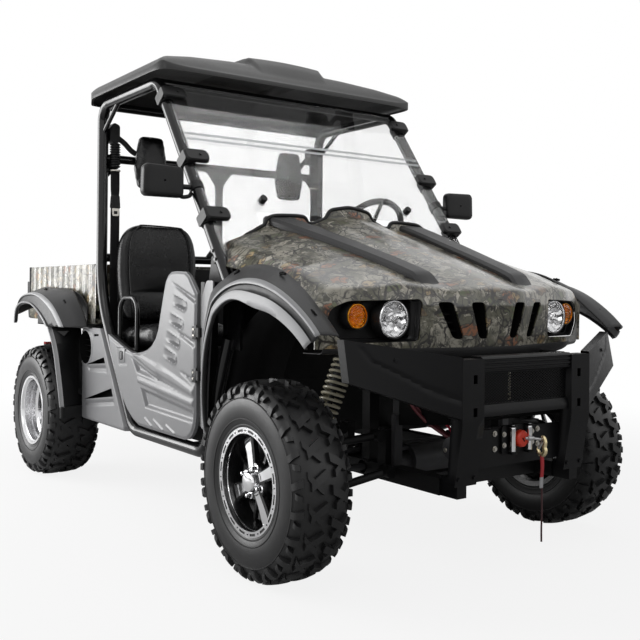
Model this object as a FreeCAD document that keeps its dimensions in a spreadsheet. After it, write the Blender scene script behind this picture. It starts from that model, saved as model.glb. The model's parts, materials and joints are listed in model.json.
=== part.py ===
import FreeCAD, Part
import math
import os

import Sketcher

# Side by side utility vehicle. Millimetres, +X forward, +Y left, +Z up.
# The origin lies on the ground under the middle of the overall length.

V = FreeCAD.Vector
doc = FreeCAD.newDocument("UtilityVehicle")
sheet = doc.addObject("Spreadsheet::Sheet", "Sizes")

SIZES = (
    # alias, value, meaning
    ("wheelbase", 1950, "front axle to rear axle"),
    ("front_overhang", 476, "front axle to the bumper's face"),
    ("rear_overhang", 610, "rear axle to the tailgate's outside"),
    ("front_axle_x", 1030, "front axle ahead of the middle"),
    ("hub_z", 311, "wheel centres above the ground"),
    ("tyre_radius", 311, "radius over the lugs"),
    ("lug_height", 16, "tread lug over the carcass"),
    ("lug_pitches", 14, "lugs round one row"),
    ("front_track", 1280, "between front tyre middles"),
    ("rear_track", 1302, "between rear tyre middles"),
    ("front_tyre_width", 205, "front tyre over the sidewalls"),
    ("rear_tyre_width", 250, "rear tyre over the sidewalls"),
    ("rim_radius", 152, "bead seat of a 12 inch rim"),
    ("flange_radius", 165, "rim flange"),
    ("rim_wall", 5, "rim barrel thickness"),
    ("disc_radius", 88, "brake disc"),
    ("disc_y", 607, "inner face of the front and rear brake discs from the middle"),
    ("spindle_radius", 15, "wheel spindle"),
    ("kingpin_y", 575, "steering axis from the middle"),
    ("steer_arm", 80, "steering arm behind the kingpin"),
    ("tube_radius", 24, "roll cage tube"),
    ("cage_y", 600, "cage side tubes from the middle"),
    ("cage_rear_x", -464, "rear pillars"),
    ("roof_rail_z", 1726, "roof rail centre height"),
    ("sill_z", 312, "sill tube centre height"),
    ("pillar_top_x", 115, "screen pillar at the roof rail"),
    ("pillar_base_x", 731, "screen pillar foot"),
    ("pillar_base_z", 863, "screen pillar foot height"),
    ("roof_wall", 6, "roof moulding thickness"),
    ("panel_wall", 6, "body panel thickness"),
    ("screen_wall", 5, "windscreen thickness"),
    ("door_outer", 642, "door face from the middle"),
    ("door_wall", 34, "door thickness"),
    ("door_gap", 7, "gap between the door and the cage tube"),
    ("door_relief", 6, "raised bars over the door's face, and how deep its hollows lie"),
    ("hinge_x", 543, "door hinge axis"),
    ("hinge_radius", 9, "door hinge barrel"),
    ("bed_half_width", 602, "cargo bed outside"),
    ("bed_front_x", -530, "cargo bed front face"),
    ("bed_floor_z", 735, "underside of the cargo bed floor"),
    ("bed_top_z", 1012, "cargo bed rail height"),
    ("bed_wall", 22, "cargo bed wall"),
    ("bed_pivot_inset", 185, "axis that the cargo bed tips about, ahead of the rear end"),
    ("bed_pivot_z", 712, "height of that axis"),
    ("tailgate_hinge_inset", 38, "tailgate hinge axis ahead of the rear end"),
    ("tailgate_hinge_z", 746, "tailgate hinge height"),
    ("rack_z", 352, "steering rack height"),
    ("rail_y", 230, "chassis rail from the middle"),
    ("rail_size", 50, "square chassis tube"),
    ("rail_z", 285, "underside of the chassis rails"),
    ("hitch_z", 330, "top of the drawbar"),
    ("hitch_hole_radius", 9.6, "hole for the tow ball"),
    ("hitch_plate", 10, "drawbar thickness"),
    ("lamp_radius", 58, "headlamp"),
    ("lamp_y", 371, "headlamp from the middle"),
    ("lamp_z", 813, "headlamp height"),
    ("signal_radius", 38, "turn signal"),
    ("signal_y", 482, "turn signal from the middle"),
    ("signal_z", 822, "turn signal height"),
    ("wheel_ring_radius", 172, "steering wheel to the grip's middle"),
    ("grip_radius", 14, "steering wheel grip"),
    ("clearance", 0.3, "between pieces that seat on each other"),
)

for row, (alias, value, meaning) in enumerate(SIZES, start=2):
    sheet.set("A%d" % row, meaning)
    sheet.set("B%d" % row, str(value))
    sheet.setAlias("B%d" % row, alias)
doc.recompute()


class Size:
    """A length of the sheet, or a sum of them, with the expression that ties it to its cells."""

    def __init__(self, text, value):
        self.text = text
        self.value = value

    def __add__(self, other):
        return combined(self, "+", other)

    def __radd__(self, other):
        return combined(other, "+", self)

    def __sub__(self, other):
        return combined(self, "-", other)

    def __rsub__(self, other):
        return combined(other, "-", self)

    def __mul__(self, other):
        return combined(self, "*", other)

    def __rmul__(self, other):
        return combined(other, "*", self)

    def __truediv__(self, other):
        return combined(self, "/", other)

    def __neg__(self):
        return combined(0, "-", self)

    def __float__(self):
        return float(self.value)


def as_size(item):
    return item if isinstance(item, Size) else Size(repr(float(item)), float(item))


def combined(left, sign, right):
    a = as_size(left)
    b = as_size(right)
    results = {
        "+": a.value + b.value,
        "-": a.value - b.value,
        "*": a.value * b.value,
    }
    value = results[sign] if sign in results else a.value / b.value
    return Size("(%s %s %s)" % (a.text, sign, b.text), value)


def sized(alias):
    return Size("Sizes." + alias, float(sheet.get(alias)))


def bind(thing, prop, item):
    """Set one property, by an expression where the size comes from the sheet."""
    if isinstance(item, Size):
        thing.setExpression(prop, item.text)
    elif prop.startswith("Placement.Base"):
        thing.setExpression(prop, repr(float(item)))
    else:
        setattr(thing, prop, float(item))


def place(thing, x, y, z):
    bind(thing, "Placement.Base.x", x)
    bind(thing, "Placement.Base.y", y)
    bind(thing, "Placement.Base.z", z)


def vec(x, y, z):
    return V(float(x), float(y), float(z))


# Building blocks

parts = {}


def keep(label, thing):
    """Register a finished sub-part under the name of its file."""
    thing.Label = label
    parts[label] = thing
    return thing


def box(name, xs, ys, zs):
    """A block between two places along each axis."""
    thing = doc.addObject("Part::Box", name)
    bind(thing, "Length", xs[1] - xs[0])
    bind(thing, "Width", ys[1] - ys[0])
    bind(thing, "Height", zs[1] - zs[0])
    place(thing, xs[0], ys[0], zs[0])
    return thing


TURNS = {
    "X": FreeCAD.Rotation(V(0, 1, 0), 90),
    "Y": FreeCAD.Rotation(V(1, 0, 0), -90),
    "Z": FreeCAD.Rotation(),
}


def rod(name, axis, start, radius, length):
    """A cylinder that runs from its start along the named axis."""
    thing = doc.addObject("Part::Cylinder", name)
    bind(thing, "Radius", radius)
    bind(thing, "Height", length)
    thing.Placement = FreeCAD.Placement(vec(*start), TURNS[axis])
    place(thing, *start)
    return thing


def feature(name, shape):
    thing = doc.addObject("Part::Feature", name)
    thing.Shape = shape
    return thing


def fused(name, things):
    thing = doc.addObject("Part::MultiFuse", name)
    thing.Shapes = things
    thing.Refine = False
    return thing


def grouped(name, things):
    thing = doc.addObject("Part::Compound", name)
    thing.Links = things
    return thing


def cut(name, base, tool):
    thing = doc.addObject("Part::Cut", name)
    thing.Base = base
    thing.Tool = tool
    thing.Refine = False
    return thing


def mirrored(name, source):
    """The same piece on the other side of the vehicle."""
    thing = doc.addObject("Part::Mirroring", name)
    thing.Source = source
    thing.Normal = V(0, 1, 0)
    thing.Base = V(0, 0, 0)
    return thing


def both_sides(name, source):
    return grouped(name, [source, mirrored(name + "Other", source)])


ROLES = {"XY": "XY_Plane", "XZ": "XZ_Plane", "YZ": "YZ_Plane"}


def hold(sketch, kind, axis, geometry, item):
    """Hold one corner to its distance from an axis of the sketch."""
    value = float(item)
    if not isinstance(item, Size) and value == 0:
        sketch.addConstraint(Sketcher.Constraint("PointOnObject", geometry, 1, axis))
        return
    index = sketch.addConstraint(Sketcher.Constraint(kind, -1, 1, geometry, 1, value))
    if isinstance(item, Size):
        sketch.setExpression("Constraints[%d]" % index, item.text)


def draw_outline(sketch, outline):
    """Add a closed outline of straight edges, each corner held in both directions."""
    first = sketch.GeometryCount
    count = len(outline)
    corners = [vec(x, y, 0) for x, y in outline]
    for i in range(count):
        sketch.addGeometry(Part.LineSegment(corners[i], corners[(i + 1) % count]), False)
    for i in range(count):
        following = first + (i + 1) % count
        sketch.addConstraint(Sketcher.Constraint("Coincident", first + i, 2, following, 1))
    for i, (x, y) in enumerate(outline):
        hold(sketch, "DistanceX", -2, first + i, x)
        hold(sketch, "DistanceY", -1, first + i, y)


def draw_circle(sketch, x, y, radius):
    index = sketch.addGeometry(Part.Circle(vec(x, y, 0), V(0, 0, 1), float(radius)), False)
    for kind, item in (("DistanceX", x), ("DistanceY", y)):
        place_index = sketch.addConstraint(
            Sketcher.Constraint(kind, -1, 1, index, 3, float(item)))
        if isinstance(item, Size):
            sketch.setExpression("Constraints[%d]" % place_index, item.text)
    size_index = sketch.addConstraint(Sketcher.Constraint("Radius", index, float(radius)))
    if isinstance(radius, Size):
        sketch.setExpression("Constraints[%d]" % size_index, radius.text)


def new_body(name):
    return doc.addObject("PartDesign::Body", name)


def new_sketch(body, name, plane, offset, turn=0, lean=0):
    """A sketch on one of the body's own planes, moved along the axis that the plane faces.

    turn rotates it in its plane, and lean swings it about the body's Y axis, in degrees.
    """
    sketch = body.newObject("Sketcher::SketchObject", name)
    for origin in body.Origin.OriginFeatures:
        if origin.Role == ROLES[plane]:
            sketch.AttachmentSupport = (origin, [""])
    sketch.MapMode = "FlatFace"
    along = -offset if plane == "XZ" else offset
    swing = math.radians(lean)
    rotation = FreeCAD.Rotation(V(0, 1, 0), lean) * FreeCAD.Rotation(V(0, 0, 1), turn)
    base = V(float(along) * math.sin(swing), 0, float(along) * math.cos(swing))
    sketch.AttachmentOffset = FreeCAD.Placement(base, rotation)
    if isinstance(along, Size):
        sketch.setExpression("AttachmentOffset.Base.x", (along * math.sin(swing)).text)
        sketch.setExpression("AttachmentOffset.Base.z", (along * math.cos(swing)).text)
    return sketch


def pad(body, name, plane, outlines, low, high):
    """Raise outlines of the plane between two places along the axis that it faces."""
    start = high if plane == "XZ" else low
    sketch = new_sketch(body, name + "Sketch", plane, start)
    for outline in outlines:
        draw_outline(sketch, outline)
    thing = body.newObject("PartDesign::Pad", name)
    thing.Profile = sketch
    bind(thing, "Length", high - low)
    return thing


def pocket(body, name, plane, outlines, low, high, circles=()):
    """Cut outlines and circles of the plane between two places along the axis that it faces."""
    start = high if plane == "XZ" else low
    sketch = new_sketch(body, name + "Sketch", plane, start)
    for outline in outlines:
        draw_outline(sketch, outline)
    for x, y, radius in circles:
        draw_circle(sketch, x, y, radius)
    thing = body.newObject("PartDesign::Pocket", name)
    thing.Profile = sketch
    thing.Reversed = True
    bind(thing, "Length", high - low)
    return thing


def spin(body, name, outline, groove=False):
    """Turn an outline of (along Y, radius) about the Y axis of the body."""
    sketch = new_sketch(body, name + "Sketch", "YZ", 0)
    draw_outline(sketch, outline)
    kind = "PartDesign::Groove" if groove else "PartDesign::Revolution"
    thing = body.newObject(kind, name)
    thing.Profile = sketch
    thing.ReferenceAxis = (sketch, ["H_Axis"])
    thing.Angle = 360
    return thing


def repeat(body, name, features, count):
    """Repeat features round the Y axis of the body."""
    pattern = body.newObject("PartDesign::PolarPattern", name)
    pattern.Originals = features
    for origin in body.Origin.OriginFeatures:
        if origin.Role == "Y_Axis":
            pattern.Axis = (origin, [""])
    pattern.Angle = 360
    if isinstance(count, Size):
        pattern.setExpression("Occurrences", count.text)
    else:
        pattern.Occurrences = count
    body.Tip = pattern
    return pattern


def prism(plane, outline, low, high):
    """A straight block of an outline, for shapes that the curved panels are cut with."""
    spots = {
        "XZ": lambda a, b, c: V(a, c, b),
        "YZ": lambda a, b, c: V(c, a, b),
        "XY": lambda a, b, c: V(a, b, c),
    }
    spot = spots[plane]
    corners = [spot(float(a), float(b), float(low)) for a, b in outline]
    face = Part.Face(Part.makePolygon(corners + corners[:1]))
    return face.extrude(spot(0, 0, float(high) - float(low)))


def section(corners):
    return Part.makePolygon([vec(*corner) for corner in corners + corners[:1]])


def ruled(sections):
    return Part.makeLoft([section(corners) for corners in sections], True, True)


def other_side(shape):
    return shape.mirror(V(0, 0, 0), V(0, 1, 0))


def tube(points, radius):
    """A round tube along straight runs; a corner is (x, y, z, bend radius) and an end is (x, y, z)."""
    radius = float(radius)
    spots = [vec(*point[:3]) for point in points]
    edges = []
    last = spots[0]
    for i in range(1, len(points) - 1):
        corner = spots[i]
        bend = float(points[i][3])
        to_before = (spots[i - 1] - corner).normalize()
        to_after = (spots[i + 1] - corner).normalize()
        angle = to_before.getAngle(to_after)
        reach = bend / math.tan(angle / 2)
        start = corner + to_before * reach
        end = corner + to_after * reach
        half = (to_before + to_after).normalize()
        middle = corner + half * (bend / math.sin(angle / 2) - bend)
        edges.append(Part.LineSegment(last, start).toShape())
        edges.append(Part.Arc(start, middle, end).toShape())
        last = end
    edges.append(Part.LineSegment(last, spots[-1]).toShape())
    circle = Part.Wire(Part.makeCircle(radius, spots[0], spots[1] - spots[0]))
    return Part.Wire(edges).makePipe(Part.Face(circle))


def fuse_shapes(shapes):
    return shapes[0].multiFuse(shapes[1:]) if len(shapes) > 1 else shapes[0]


# Sizes that several sub-parts share

front_x = sized("front_axle_x")
rear_x = front_x - sized("wheelbase")
hub_z = sized("hub_z")
front_y = sized("front_track") / 2
rear_y = sized("rear_track") / 2
gap = sized("clearance")
tube_r = sized("tube_radius")
cage_y = sized("cage_y")
kingpin_y = sized("kingpin_y")
front_end = front_x + sized("front_overhang")
rear_end = rear_x - sized("rear_overhang")
bed_pivot_x = rear_end + sized("bed_pivot_inset")
tailgate_hinge_x = rear_end + sized("tailgate_hinge_inset")
rear_panel_x = rear_x + sized("tyre_radius") + 9


# Wheels

spindle_r = sized("spindle_radius")


def many_sided(rings, sides):
    """A solid of flat faces over regular polygons round the Y axis; rings list (y, radius of the flats)."""
    corners = []
    for y, radius in rings:
        reach = float(radius) / math.cos(math.pi / sides)
        swings = [2 * math.pi * (k + 0.5) / sides for k in range(sides)]
        corners.append([V(reach * math.sin(a), float(y), reach * math.cos(a)) for a in swings])
    faces = [Part.Face(Part.makePolygon(ring + ring[:1])) for ring in (corners[0], corners[-1])]
    for near, far in zip(corners, corners[1:]):
        for k in range(sides):
            after = (k + 1) % sides
            quad = [near[k], near[after], far[after], far[k], near[k]]
            faces.append(Part.Face(Part.makePolygon(quad)))
    return Part.Solid(Part.Shell(faces))


def carcass(name, half, bead):
    """Tyre body of flats, two to each pitch of lugs, bored for the rim."""
    tread = sized("tyre_radius") - sized("lug_height")
    bulge = bead + (tread - bead) * 0.45
    sides = 2 * int(float(sized("lug_pitches")))
    rings = [
        (-half * 0.66, bead + 4), (-half, bulge), (-half * 0.93, tread - 32), (-half * 0.70, tread),
        (half * 0.70, tread), (half * 0.93, tread - 32), (half, bulge), (half * 0.66, bead + 4),
    ]
    bore = rod(name + "Bore", "Y", (0, -half, 0), bead, half * 2)
    return cut(name + "Ring", feature(name + "Carcass", many_sided(rings, sides)), bore)


LUG_ROWS = (
    # name, near edge and far edge in half widths, lean and start in pitches, foot under the tread
    ("MiddleLeft", 0.06, 0.50, 0.30, 0.0, 4),
    ("MiddleRight", -0.50, -0.06, -0.30, 0.5, 4),
    ("ShoulderLeft", 0.60, 0.96, 0.12, 0.5, 30),
    ("ShoulderRight", -0.96, -0.60, -0.12, 0.0, 30),
)


def lug_rows(body, half):
    """Two rows of middle lugs and two of shoulder lugs, each raised once and repeated."""
    tread = sized("tyre_radius") - sized("lug_height")
    pitch = sized("tyre_radius") * (2 * math.pi) / sized("lug_pitches")
    width = pitch * 0.22
    lugs = []
    for name, near, far, lean, start, foot in LUG_ROWS:
        slant = pitch * lean
        reach = float(width + abs(lean) * pitch) / float(sized("tyre_radius"))
        crown = sized("tyre_radius") * math.sqrt(1 - reach ** 2)
        swing = 360 * start / float(sized("lug_pitches"))
        sketch = new_sketch(body, body.Name + name + "Sketch", "XY", tread - foot, lean=swing)
        draw_outline(sketch, [
            (-width, half * near),
            (width, half * near),
            (width + slant, half * far),
            (-width + slant, half * far),
        ])
        lug = body.newObject("PartDesign::Pad", body.Name + name)
        lug.Profile = sketch
        bind(lug, "Length", crown - tread + foot)
        lugs.append(lug)
    return repeat(body, body.Name + "Lugs", lugs, sized("lug_pitches"))


def tyre(label, x, y, width):
    ring = carcass(label, width / 2, sized("rim_radius") + gap)
    body = new_body(label + "Body")
    body.BaseFeature = ring
    lug_rows(body, width / 2)
    place(body, x, y, hub_z)
    return body


SPOKES = (
    # name, start angle, half width at the hub and at the barrel, set back from the face
    ("Main", 22, 17, 23, 0),
    ("Slim", 67, 8, 10, 8),
)


def rim(label, x, y, width, face):
    """Barrel, spokes, hub and brake disc of a left wheel, +Y outboard; face is the spokes' outside."""
    body = new_body(label + "Body")
    seat = sized("rim_radius")
    wall = sized("rim_wall")
    flange = sized("flange_radius")
    well = seat - 24
    out = width / 2 - 11
    disc = sized("disc_radius")
    disc_y = sized("disc_y") - y
    spin(body, label + "Barrel", [
        (-out, seat - wall), (-out * 0.45, seat - wall), (-out * 0.30, well),
        (out * 0.10, well), (out * 0.25, seat - wall), (out, seat - wall), (out, flange),
        (out - wall, flange), (out - wall, seat), (out * 0.20, seat), (out * 0.05, well + wall),
        (-out * 0.25, well + wall), (-out * 0.40, seat), (-out + wall, seat),
        (-out + wall, flange), (-out, flange),
    ])
    for name, turn, hub_half, barrel_half, back in SPOKES:
        sketch = new_sketch(body, label + name + "Sketch", "XZ", face - back, turn=turn)
        draw_outline(sketch, [
            (45, -hub_half), (seat - 2, -barrel_half), (seat - 2, barrel_half), (45, hub_half)])
        spoke = body.newObject("PartDesign::Pad", label + name)
        spoke.Profile = sketch
        spoke.Length = 16
        repeat(body, label + name + "Ring", [spoke], 4)
    bore = spindle_r + 0.5
    spin(body, label + "Hub", [
        (disc_y - 12, bore), (face - 20, bore), (face - 20, 0), (face + 16, 0), (face + 16, 30),
        (face + 4, 38), (face + 4, 58), (face - 16, 58), (face - 16, 40), (disc_y + 6, 40),
        (disc_y + 6, disc), (disc_y, disc), (disc_y, 34), (disc_y - 12, 34),
    ])
    place(body, x, y, hub_z)
    return body


WHEELS = (
    # place, axle, track half, tyre width, outer side of the spokes from the tyre's middle
    ("front", front_x, front_y, sized("front_tyre_width"), 60),
    ("rear", rear_x, rear_y, sized("rear_tyre_width"), 30),
)
for where, axle, half_track, width, face in WHEELS:
    left_tyre = tyre(where.title() + "Tyre", axle, half_track, width)
    left_rim = rim(where.title() + "Rim", axle, half_track, width, face)
    keep(where + "_tyre_left", left_tyre)
    keep(where + "_tyre_right", mirrored(where.title() + "TyreRight", left_tyre))
    keep(where + "_rim_left", left_rim)
    keep(where + "_rim_right", mirrored(where.title() + "RimRight", left_rim))


# Roll cage

def side_loop(side, radius):
    """Screen pillar, roof rail, rear pillar, sweep down to the sill and riser, in one tube."""
    y = side * float(cage_y)
    rear = float(sized("cage_rear_x"))
    roof = float(sized("roof_rail_z"))
    sill = float(sized("sill_z"))
    base_x = float(sized("pillar_base_x"))
    base_z = float(sized("pillar_base_z"))
    loop = tube([
        (base_x, y, base_z), (float(sized("pillar_top_x")), y, roof, 90), (rear, y, roof, 75),
        (rear, y, roof - 866, 500), (rear + 368, y, sill, 90), (rear + 994, y, sill, 75),
        (base_x - 36, y, base_z - 130),
    ], radius)
    foot = prism("XZ", [
        (base_x - 60, base_z - 170), (base_x + 40, base_z - 170), (base_x + 40, base_z + 30),
        (base_x - 40, base_z + 30)], y - 5, y + 5)
    return fuse_shapes([loop, foot])


BRACES = (
    # start and end in x, y, z, and tube radius; each is made on both sides
    ((-450, 600, 1608), (-280, 600, 1722), 10),
    ((-464, 600, 1490), (-464, 0, 1490), 19),
    ((-464, 600, 1726), (-464, 0, 1726), 19),
    ((112, 600, 1722), (112, 0, 1722), 19),
    ((-464, 600, 1040), (-464, 0, 1040), 19),
    ((-273, 590, 640), (-94, 590, 640), 10),
)


def straight(start, end, radius):
    a = vec(*start)
    b = vec(*end)
    return Part.makeCylinder(float(radius), (b - a).Length, a, b - a)


def hip_bar():
    """The U bar that holds the rider's hip beside each seat."""
    return tube([(-273, 590, 590), (-273, 590, 860, 60), (-94, 590, 860, 60), (-94, 590, 632)], 10)


def roll_cage():
    pieces = [side_loop(1, tube_r), side_loop(-1, tube_r)]
    for start, end, radius in BRACES:
        bar = straight(start, end, radius)
        pieces += [bar, other_side(bar)]
    pieces.append(straight((-464, 0, 1040), (-464, 0, 1490), 19))
    pieces += [hip_bar(), other_side(hip_bar())]
    return fuse_shapes(pieces)


keep("roll_cage", feature("RollCage", roll_cage()))


# Chassis

ARMS = (
    # axle, frame pivots fore and aft of it, pivot height, ball joint height, ball joint from the middle
    ("front", front_x, 150, 322, 232, 575),
    ("front", front_x, 100, 430, 392, 575),
    ("rear", rear_x, 160, 322, 232, 560),
    ("rear", rear_x, 110, 430, 392, 560),
)


TOWER_TOP = 740
BED_REST = 720
SHELF_Z = 710


def chassis_frame():
    """Rails, cross members, towers that carry the dampers, bed supports and the drawbar."""
    rail_y = float(sized("rail_y"))
    tube_size = float(sized("rail_size"))
    low = float(sized("rail_z"))
    top = low + tube_size
    outrigger = float(cage_y) - float(tube_r) - float(gap)
    rear = float(rear_end)
    rear_axle = float(rear_x)
    front_axle = float(front_x)
    rack_x = front_axle - float(sized("steer_arm"))
    pin_x = float(bed_pivot_x)
    pin_z = float(sized("bed_pivot_z"))
    cab_rear = float(sized("cage_rear_x"))
    pieces = []
    beams = (
        # x from, x to, y from, y to, z from, z to; each is made on both sides
        (rear + 200, float(front_end) - 106, rail_y, rail_y + tube_size, low, top),
        (front_axle + 260, front_axle + 300, -1, rail_y + 1, low, top),
        (front_axle - 340, front_axle - 300, -1, rail_y + 1, low, low + 8),
        (40, 80, -1, rail_y + 1, low, low + 8),
        (cab_rear - 56, cab_rear - 16, -1, rail_y + 1, low, low + 8),
        (rear + 200, rear + 240, -1, rail_y + 1, low, top),
        (-40, 0, rail_y + 1, outrigger, low + 6, low + 42),
        (380, 420, rail_y + 1, outrigger, low + 6, low + 42),
        (front_axle - 15, front_axle + 25, rail_y, rail_y + 40, top - 1, TOWER_TOP),
        (front_axle - 15, front_axle + 25, rail_y + 39, 385, TOWER_TOP - 40, TOWER_TOP),
        (front_axle - 15, front_axle + 25, -1, rail_y + 1, TOWER_TOP - 40, TOWER_TOP),
        (rear_axle - 20, rear_axle + 20, rail_y, rail_y + 40, top - 1, BED_REST),
        (rear_axle - 20, rear_axle + 20, rail_y + 39, 400, BED_REST - 40, SHELF_Z - float(gap)),
        (rear + 200, rear + 240, rail_y, rail_y + 40, top - 1, BED_REST - 20),
        (rear_axle + 320, rear_axle + 360, rail_y, rail_y + 40, top - 1, BED_REST - 20),
        (rear + 190, rear_axle + 360, rail_y, rail_y + 40, BED_REST - 40, BED_REST),
        (rear + 220, rear + 260, -1, rail_y + 1, BED_REST - 40, BED_REST),
        (rear + 165 + float(gap), rear + 201, rail_y, 560, 570, 600),
        (pin_x - 16, pin_x + 46, 205, 231, 660, pin_z),
        (rack_x - 25, rack_x + 25, 205, 231, top - 4, float(sized("rack_z")) + 26),
    )
    for x0, x1, y0, y1, z0, z1 in beams:
        beam = Part.makeBox(x1 - x0, y1 - y0, z1 - z0, V(x0, y0, z0))
        pieces += [beam, other_side(beam)]
    for where, axle, spread, pivot_z, ball_z, ball_y in ARMS:
        for way in (-1, 1):
            x = float(axle) + way * spread
            bracket = Part.makeBox(40, 30, pivot_z + 22 - top, V(x - 20, rail_y + 20, top - 1))
            if pivot_z > top + 20:
                pieces += [bracket, other_side(bracket)]
    hitch_top = float(sized("hitch_z"))
    plate = float(sized("hitch_plate"))
    bar = Part.makeBox(170, 90, plate, V(rear + 30, -45, hitch_top - plate))
    hole = Part.makeCylinder(float(sized("hitch_hole_radius")), plate, V(rear + 60, 0, hitch_top - plate))
    pieces.append(bar.cut(hole))
    pieces.append(Part.makeBox(16, 2 * rail_y + 10, 60, V(rear + 184, -rail_y - 5, hitch_top - 52)))
    lug_top = Part.makeCylinder(16, 26, V(pin_x, 205, pin_z), V(0, 1, 0))
    whole = fuse_shapes(pieces + [lug_top, other_side(lug_top)])
    for axle in (front_x, rear_x):
        whole = whole.cut(Part.makeCylinder(22, 800, vec(axle, -400, hub_z), V(0, 1, 0)))
    whole = whole.cut(Part.makeCylinder(11.6, 800, V(rack_x, -400, float(sized("rack_z"))), V(0, 1, 0)))
    return whole.cut(Part.makeCylinder(8.5, 800, V(pin_x, -400, pin_z), V(0, 1, 0)))


keep("frame", feature("Frame", chassis_frame()))


# Suspension

UPRIGHT_FOOT = 258
UPRIGHT_TOP = 372


def suspension_arms():
    shapes = []
    for where, axle, spread, pivot_z, ball_z, ball_y in ARMS:
        x = float(axle)
        inner_y = float(sized("rail_y") + sized("rail_size") + gap) + 19
        legs = []
        for way in (-1, 1):
            pivot = (x + way * spread, inner_y, pivot_z)
            legs.append(straight(pivot, (x + way * 12, ball_y - 8, ball_z), 13))
            legs.append(Part.makeCylinder(19, 44, vec(x + way * spread - 22, inner_y, pivot_z), V(1, 0, 0)))
        legs.append(Part.makeCylinder(20, 26, vec(x, ball_y, ball_z - 13)))
        stud_low = UPRIGHT_TOP + float(gap) if ball_z > UPRIGHT_TOP else ball_z
        stud_high = ball_z if ball_z > UPRIGHT_TOP else UPRIGHT_FOOT - float(gap)
        legs.append(Part.makeCylinder(9, stud_high - stud_low, V(x, ball_y, stud_low)))
        if ball_z > float(hub_z):
            legs.append(Part.makeBox(100, 34, 26, V(x - 50, 438, 399.7)))
        arm = fuse_shapes(legs)
        shapes += [arm, other_side(arm)]
    return Part.makeCompound(shapes)


keep("suspension_arms", feature("SuspensionArms", suspension_arms()))

DAMPERS = (
    # axle, top x from it, y, z, bottom x from it, y, z
    (front_x, 5, 350, TOWER_TOP - 46, -10, 455, 432),
    (rear_x, 0, 350, BED_REST - 46, 10, 455, 432),
)


def shock(row):
    """Rod, body and coil spring, with the coil as a stepped sleeve of the same outline."""
    axle, top_x, top_y, top_z, low_x, low_y, low_z = row
    top = vec(axle + top_x, top_y, top_z)
    bottom = vec(axle + low_x, low_y, low_z)
    length = (top - bottom).Length
    profile = [(0, 0), (16, 0), (16, 30), (24, 30), (24, 60)]
    coils = 6
    spring_from = 62
    pitch = (length - 45 - spring_from) / coils
    for i in range(coils):
        base = spring_from + i * pitch
        profile += [(40, base), (40, base + pitch * 0.55), (33, base + pitch * 0.55), (33, base + pitch)]
    profile += [(24, length - 45), (24, length - 30), (14, length - 30), (14, length), (0, length)]
    face = Part.Face(Part.makePolygon([V(r, 0, z) for r, z in profile + profile[:1]]))
    body = face.revolve(V(0, 0, 0), V(0, 0, 1), 360)
    body.Placement = FreeCAD.Placement(bottom, FreeCAD.Rotation(V(0, 0, 1), top - bottom))
    return body


def shock_absorbers():
    shapes = []
    for row in DAMPERS:
        shape = shock(row)
        shapes += [shape, other_side(shape)]
    return Part.makeCompound(shapes)


keep("shock_absorbers", feature("ShockAbsorbers", shock_absorbers()))


# Steering knuckles and rear carriers

def carrier(x, y, arm_x):
    """Upright, spindle and caliper of one left wheel; arm_x is the steering arm's end, or None."""
    upright = prism("XZ", [
        (x - 34, UPRIGHT_FOOT), (x + 34, UPRIGHT_FOOT), (x + 46, 311), (x + 34, UPRIGHT_TOP),
        (x - 34, UPRIGHT_TOP), (x - 46, 311)],
        y - 18, y + 6)
    disc_y = float(sized("disc_y"))
    disc = float(sized("disc_radius"))
    hub = float(hub_z)
    pieces = [
        upright,
        Part.makeCylinder(float(spindle_r), 62, vec(x, y + 5, hub), V(0, 1, 0)),
        Part.makeCylinder(32, 24, vec(x, y - 41, hub), V(0, 1, 0)),
        Part.makeBox(disc + 20 - 36, disc_y - 5 - y, 40, V(x + 36, y, hub - 20)),
        Part.makeBox(14, disc_y + 24 - y, 56, V(x + disc + 6, y, hub - 28)),
        Part.makeBox(50, 13, 56, V(x + disc - 30, disc_y + 11, hub - 28)),
    ]
    if arm_x is not None:
        arm_z = float(sized("rack_z")) - 30
        pieces.append(Part.makeBox(x - arm_x - 20, 16, 20, V(arm_x, y - 16, arm_z)))
        pieces.append(Part.makeCylinder(14, 20, vec(arm_x, y - 8, arm_z)))
    return fuse_shapes(pieces)


knuckle = carrier(float(front_x), float(kingpin_y), float(front_x) - float(sized("steer_arm")))
keep("knuckle_left", feature("KnuckleLeft", knuckle))
keep("knuckle_right", feature("KnuckleRight", other_side(knuckle)))
rear_carrier = carrier(float(rear_x), float(kingpin_y) - 8, None)
keep("rear_carriers", feature("RearCarriers",
                              Part.makeCompound([rear_carrier, other_side(rear_carrier)])))

# Steering rack with its tie rods

def steering_rack():
    x = float(front_x) - float(sized("steer_arm"))
    z = float(sized("rack_z"))
    bar = Part.makeCylinder(11, 2 * 330, vec(x, -330, z), V(0, 1, 0))
    rods = []
    for side in (-1, 1):
        rods.append(straight((x, side * 325, z), (x, side * 560, z), 8))
        rods.append(Part.makeCylinder(13, 16, vec(x, side * 567, z - 8)))
    return fuse_shapes([bar] + rods)


keep("steering_rack", feature("SteeringRack", steering_rack()))


# Drive line

ENGINE_FRONT = -160


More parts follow.
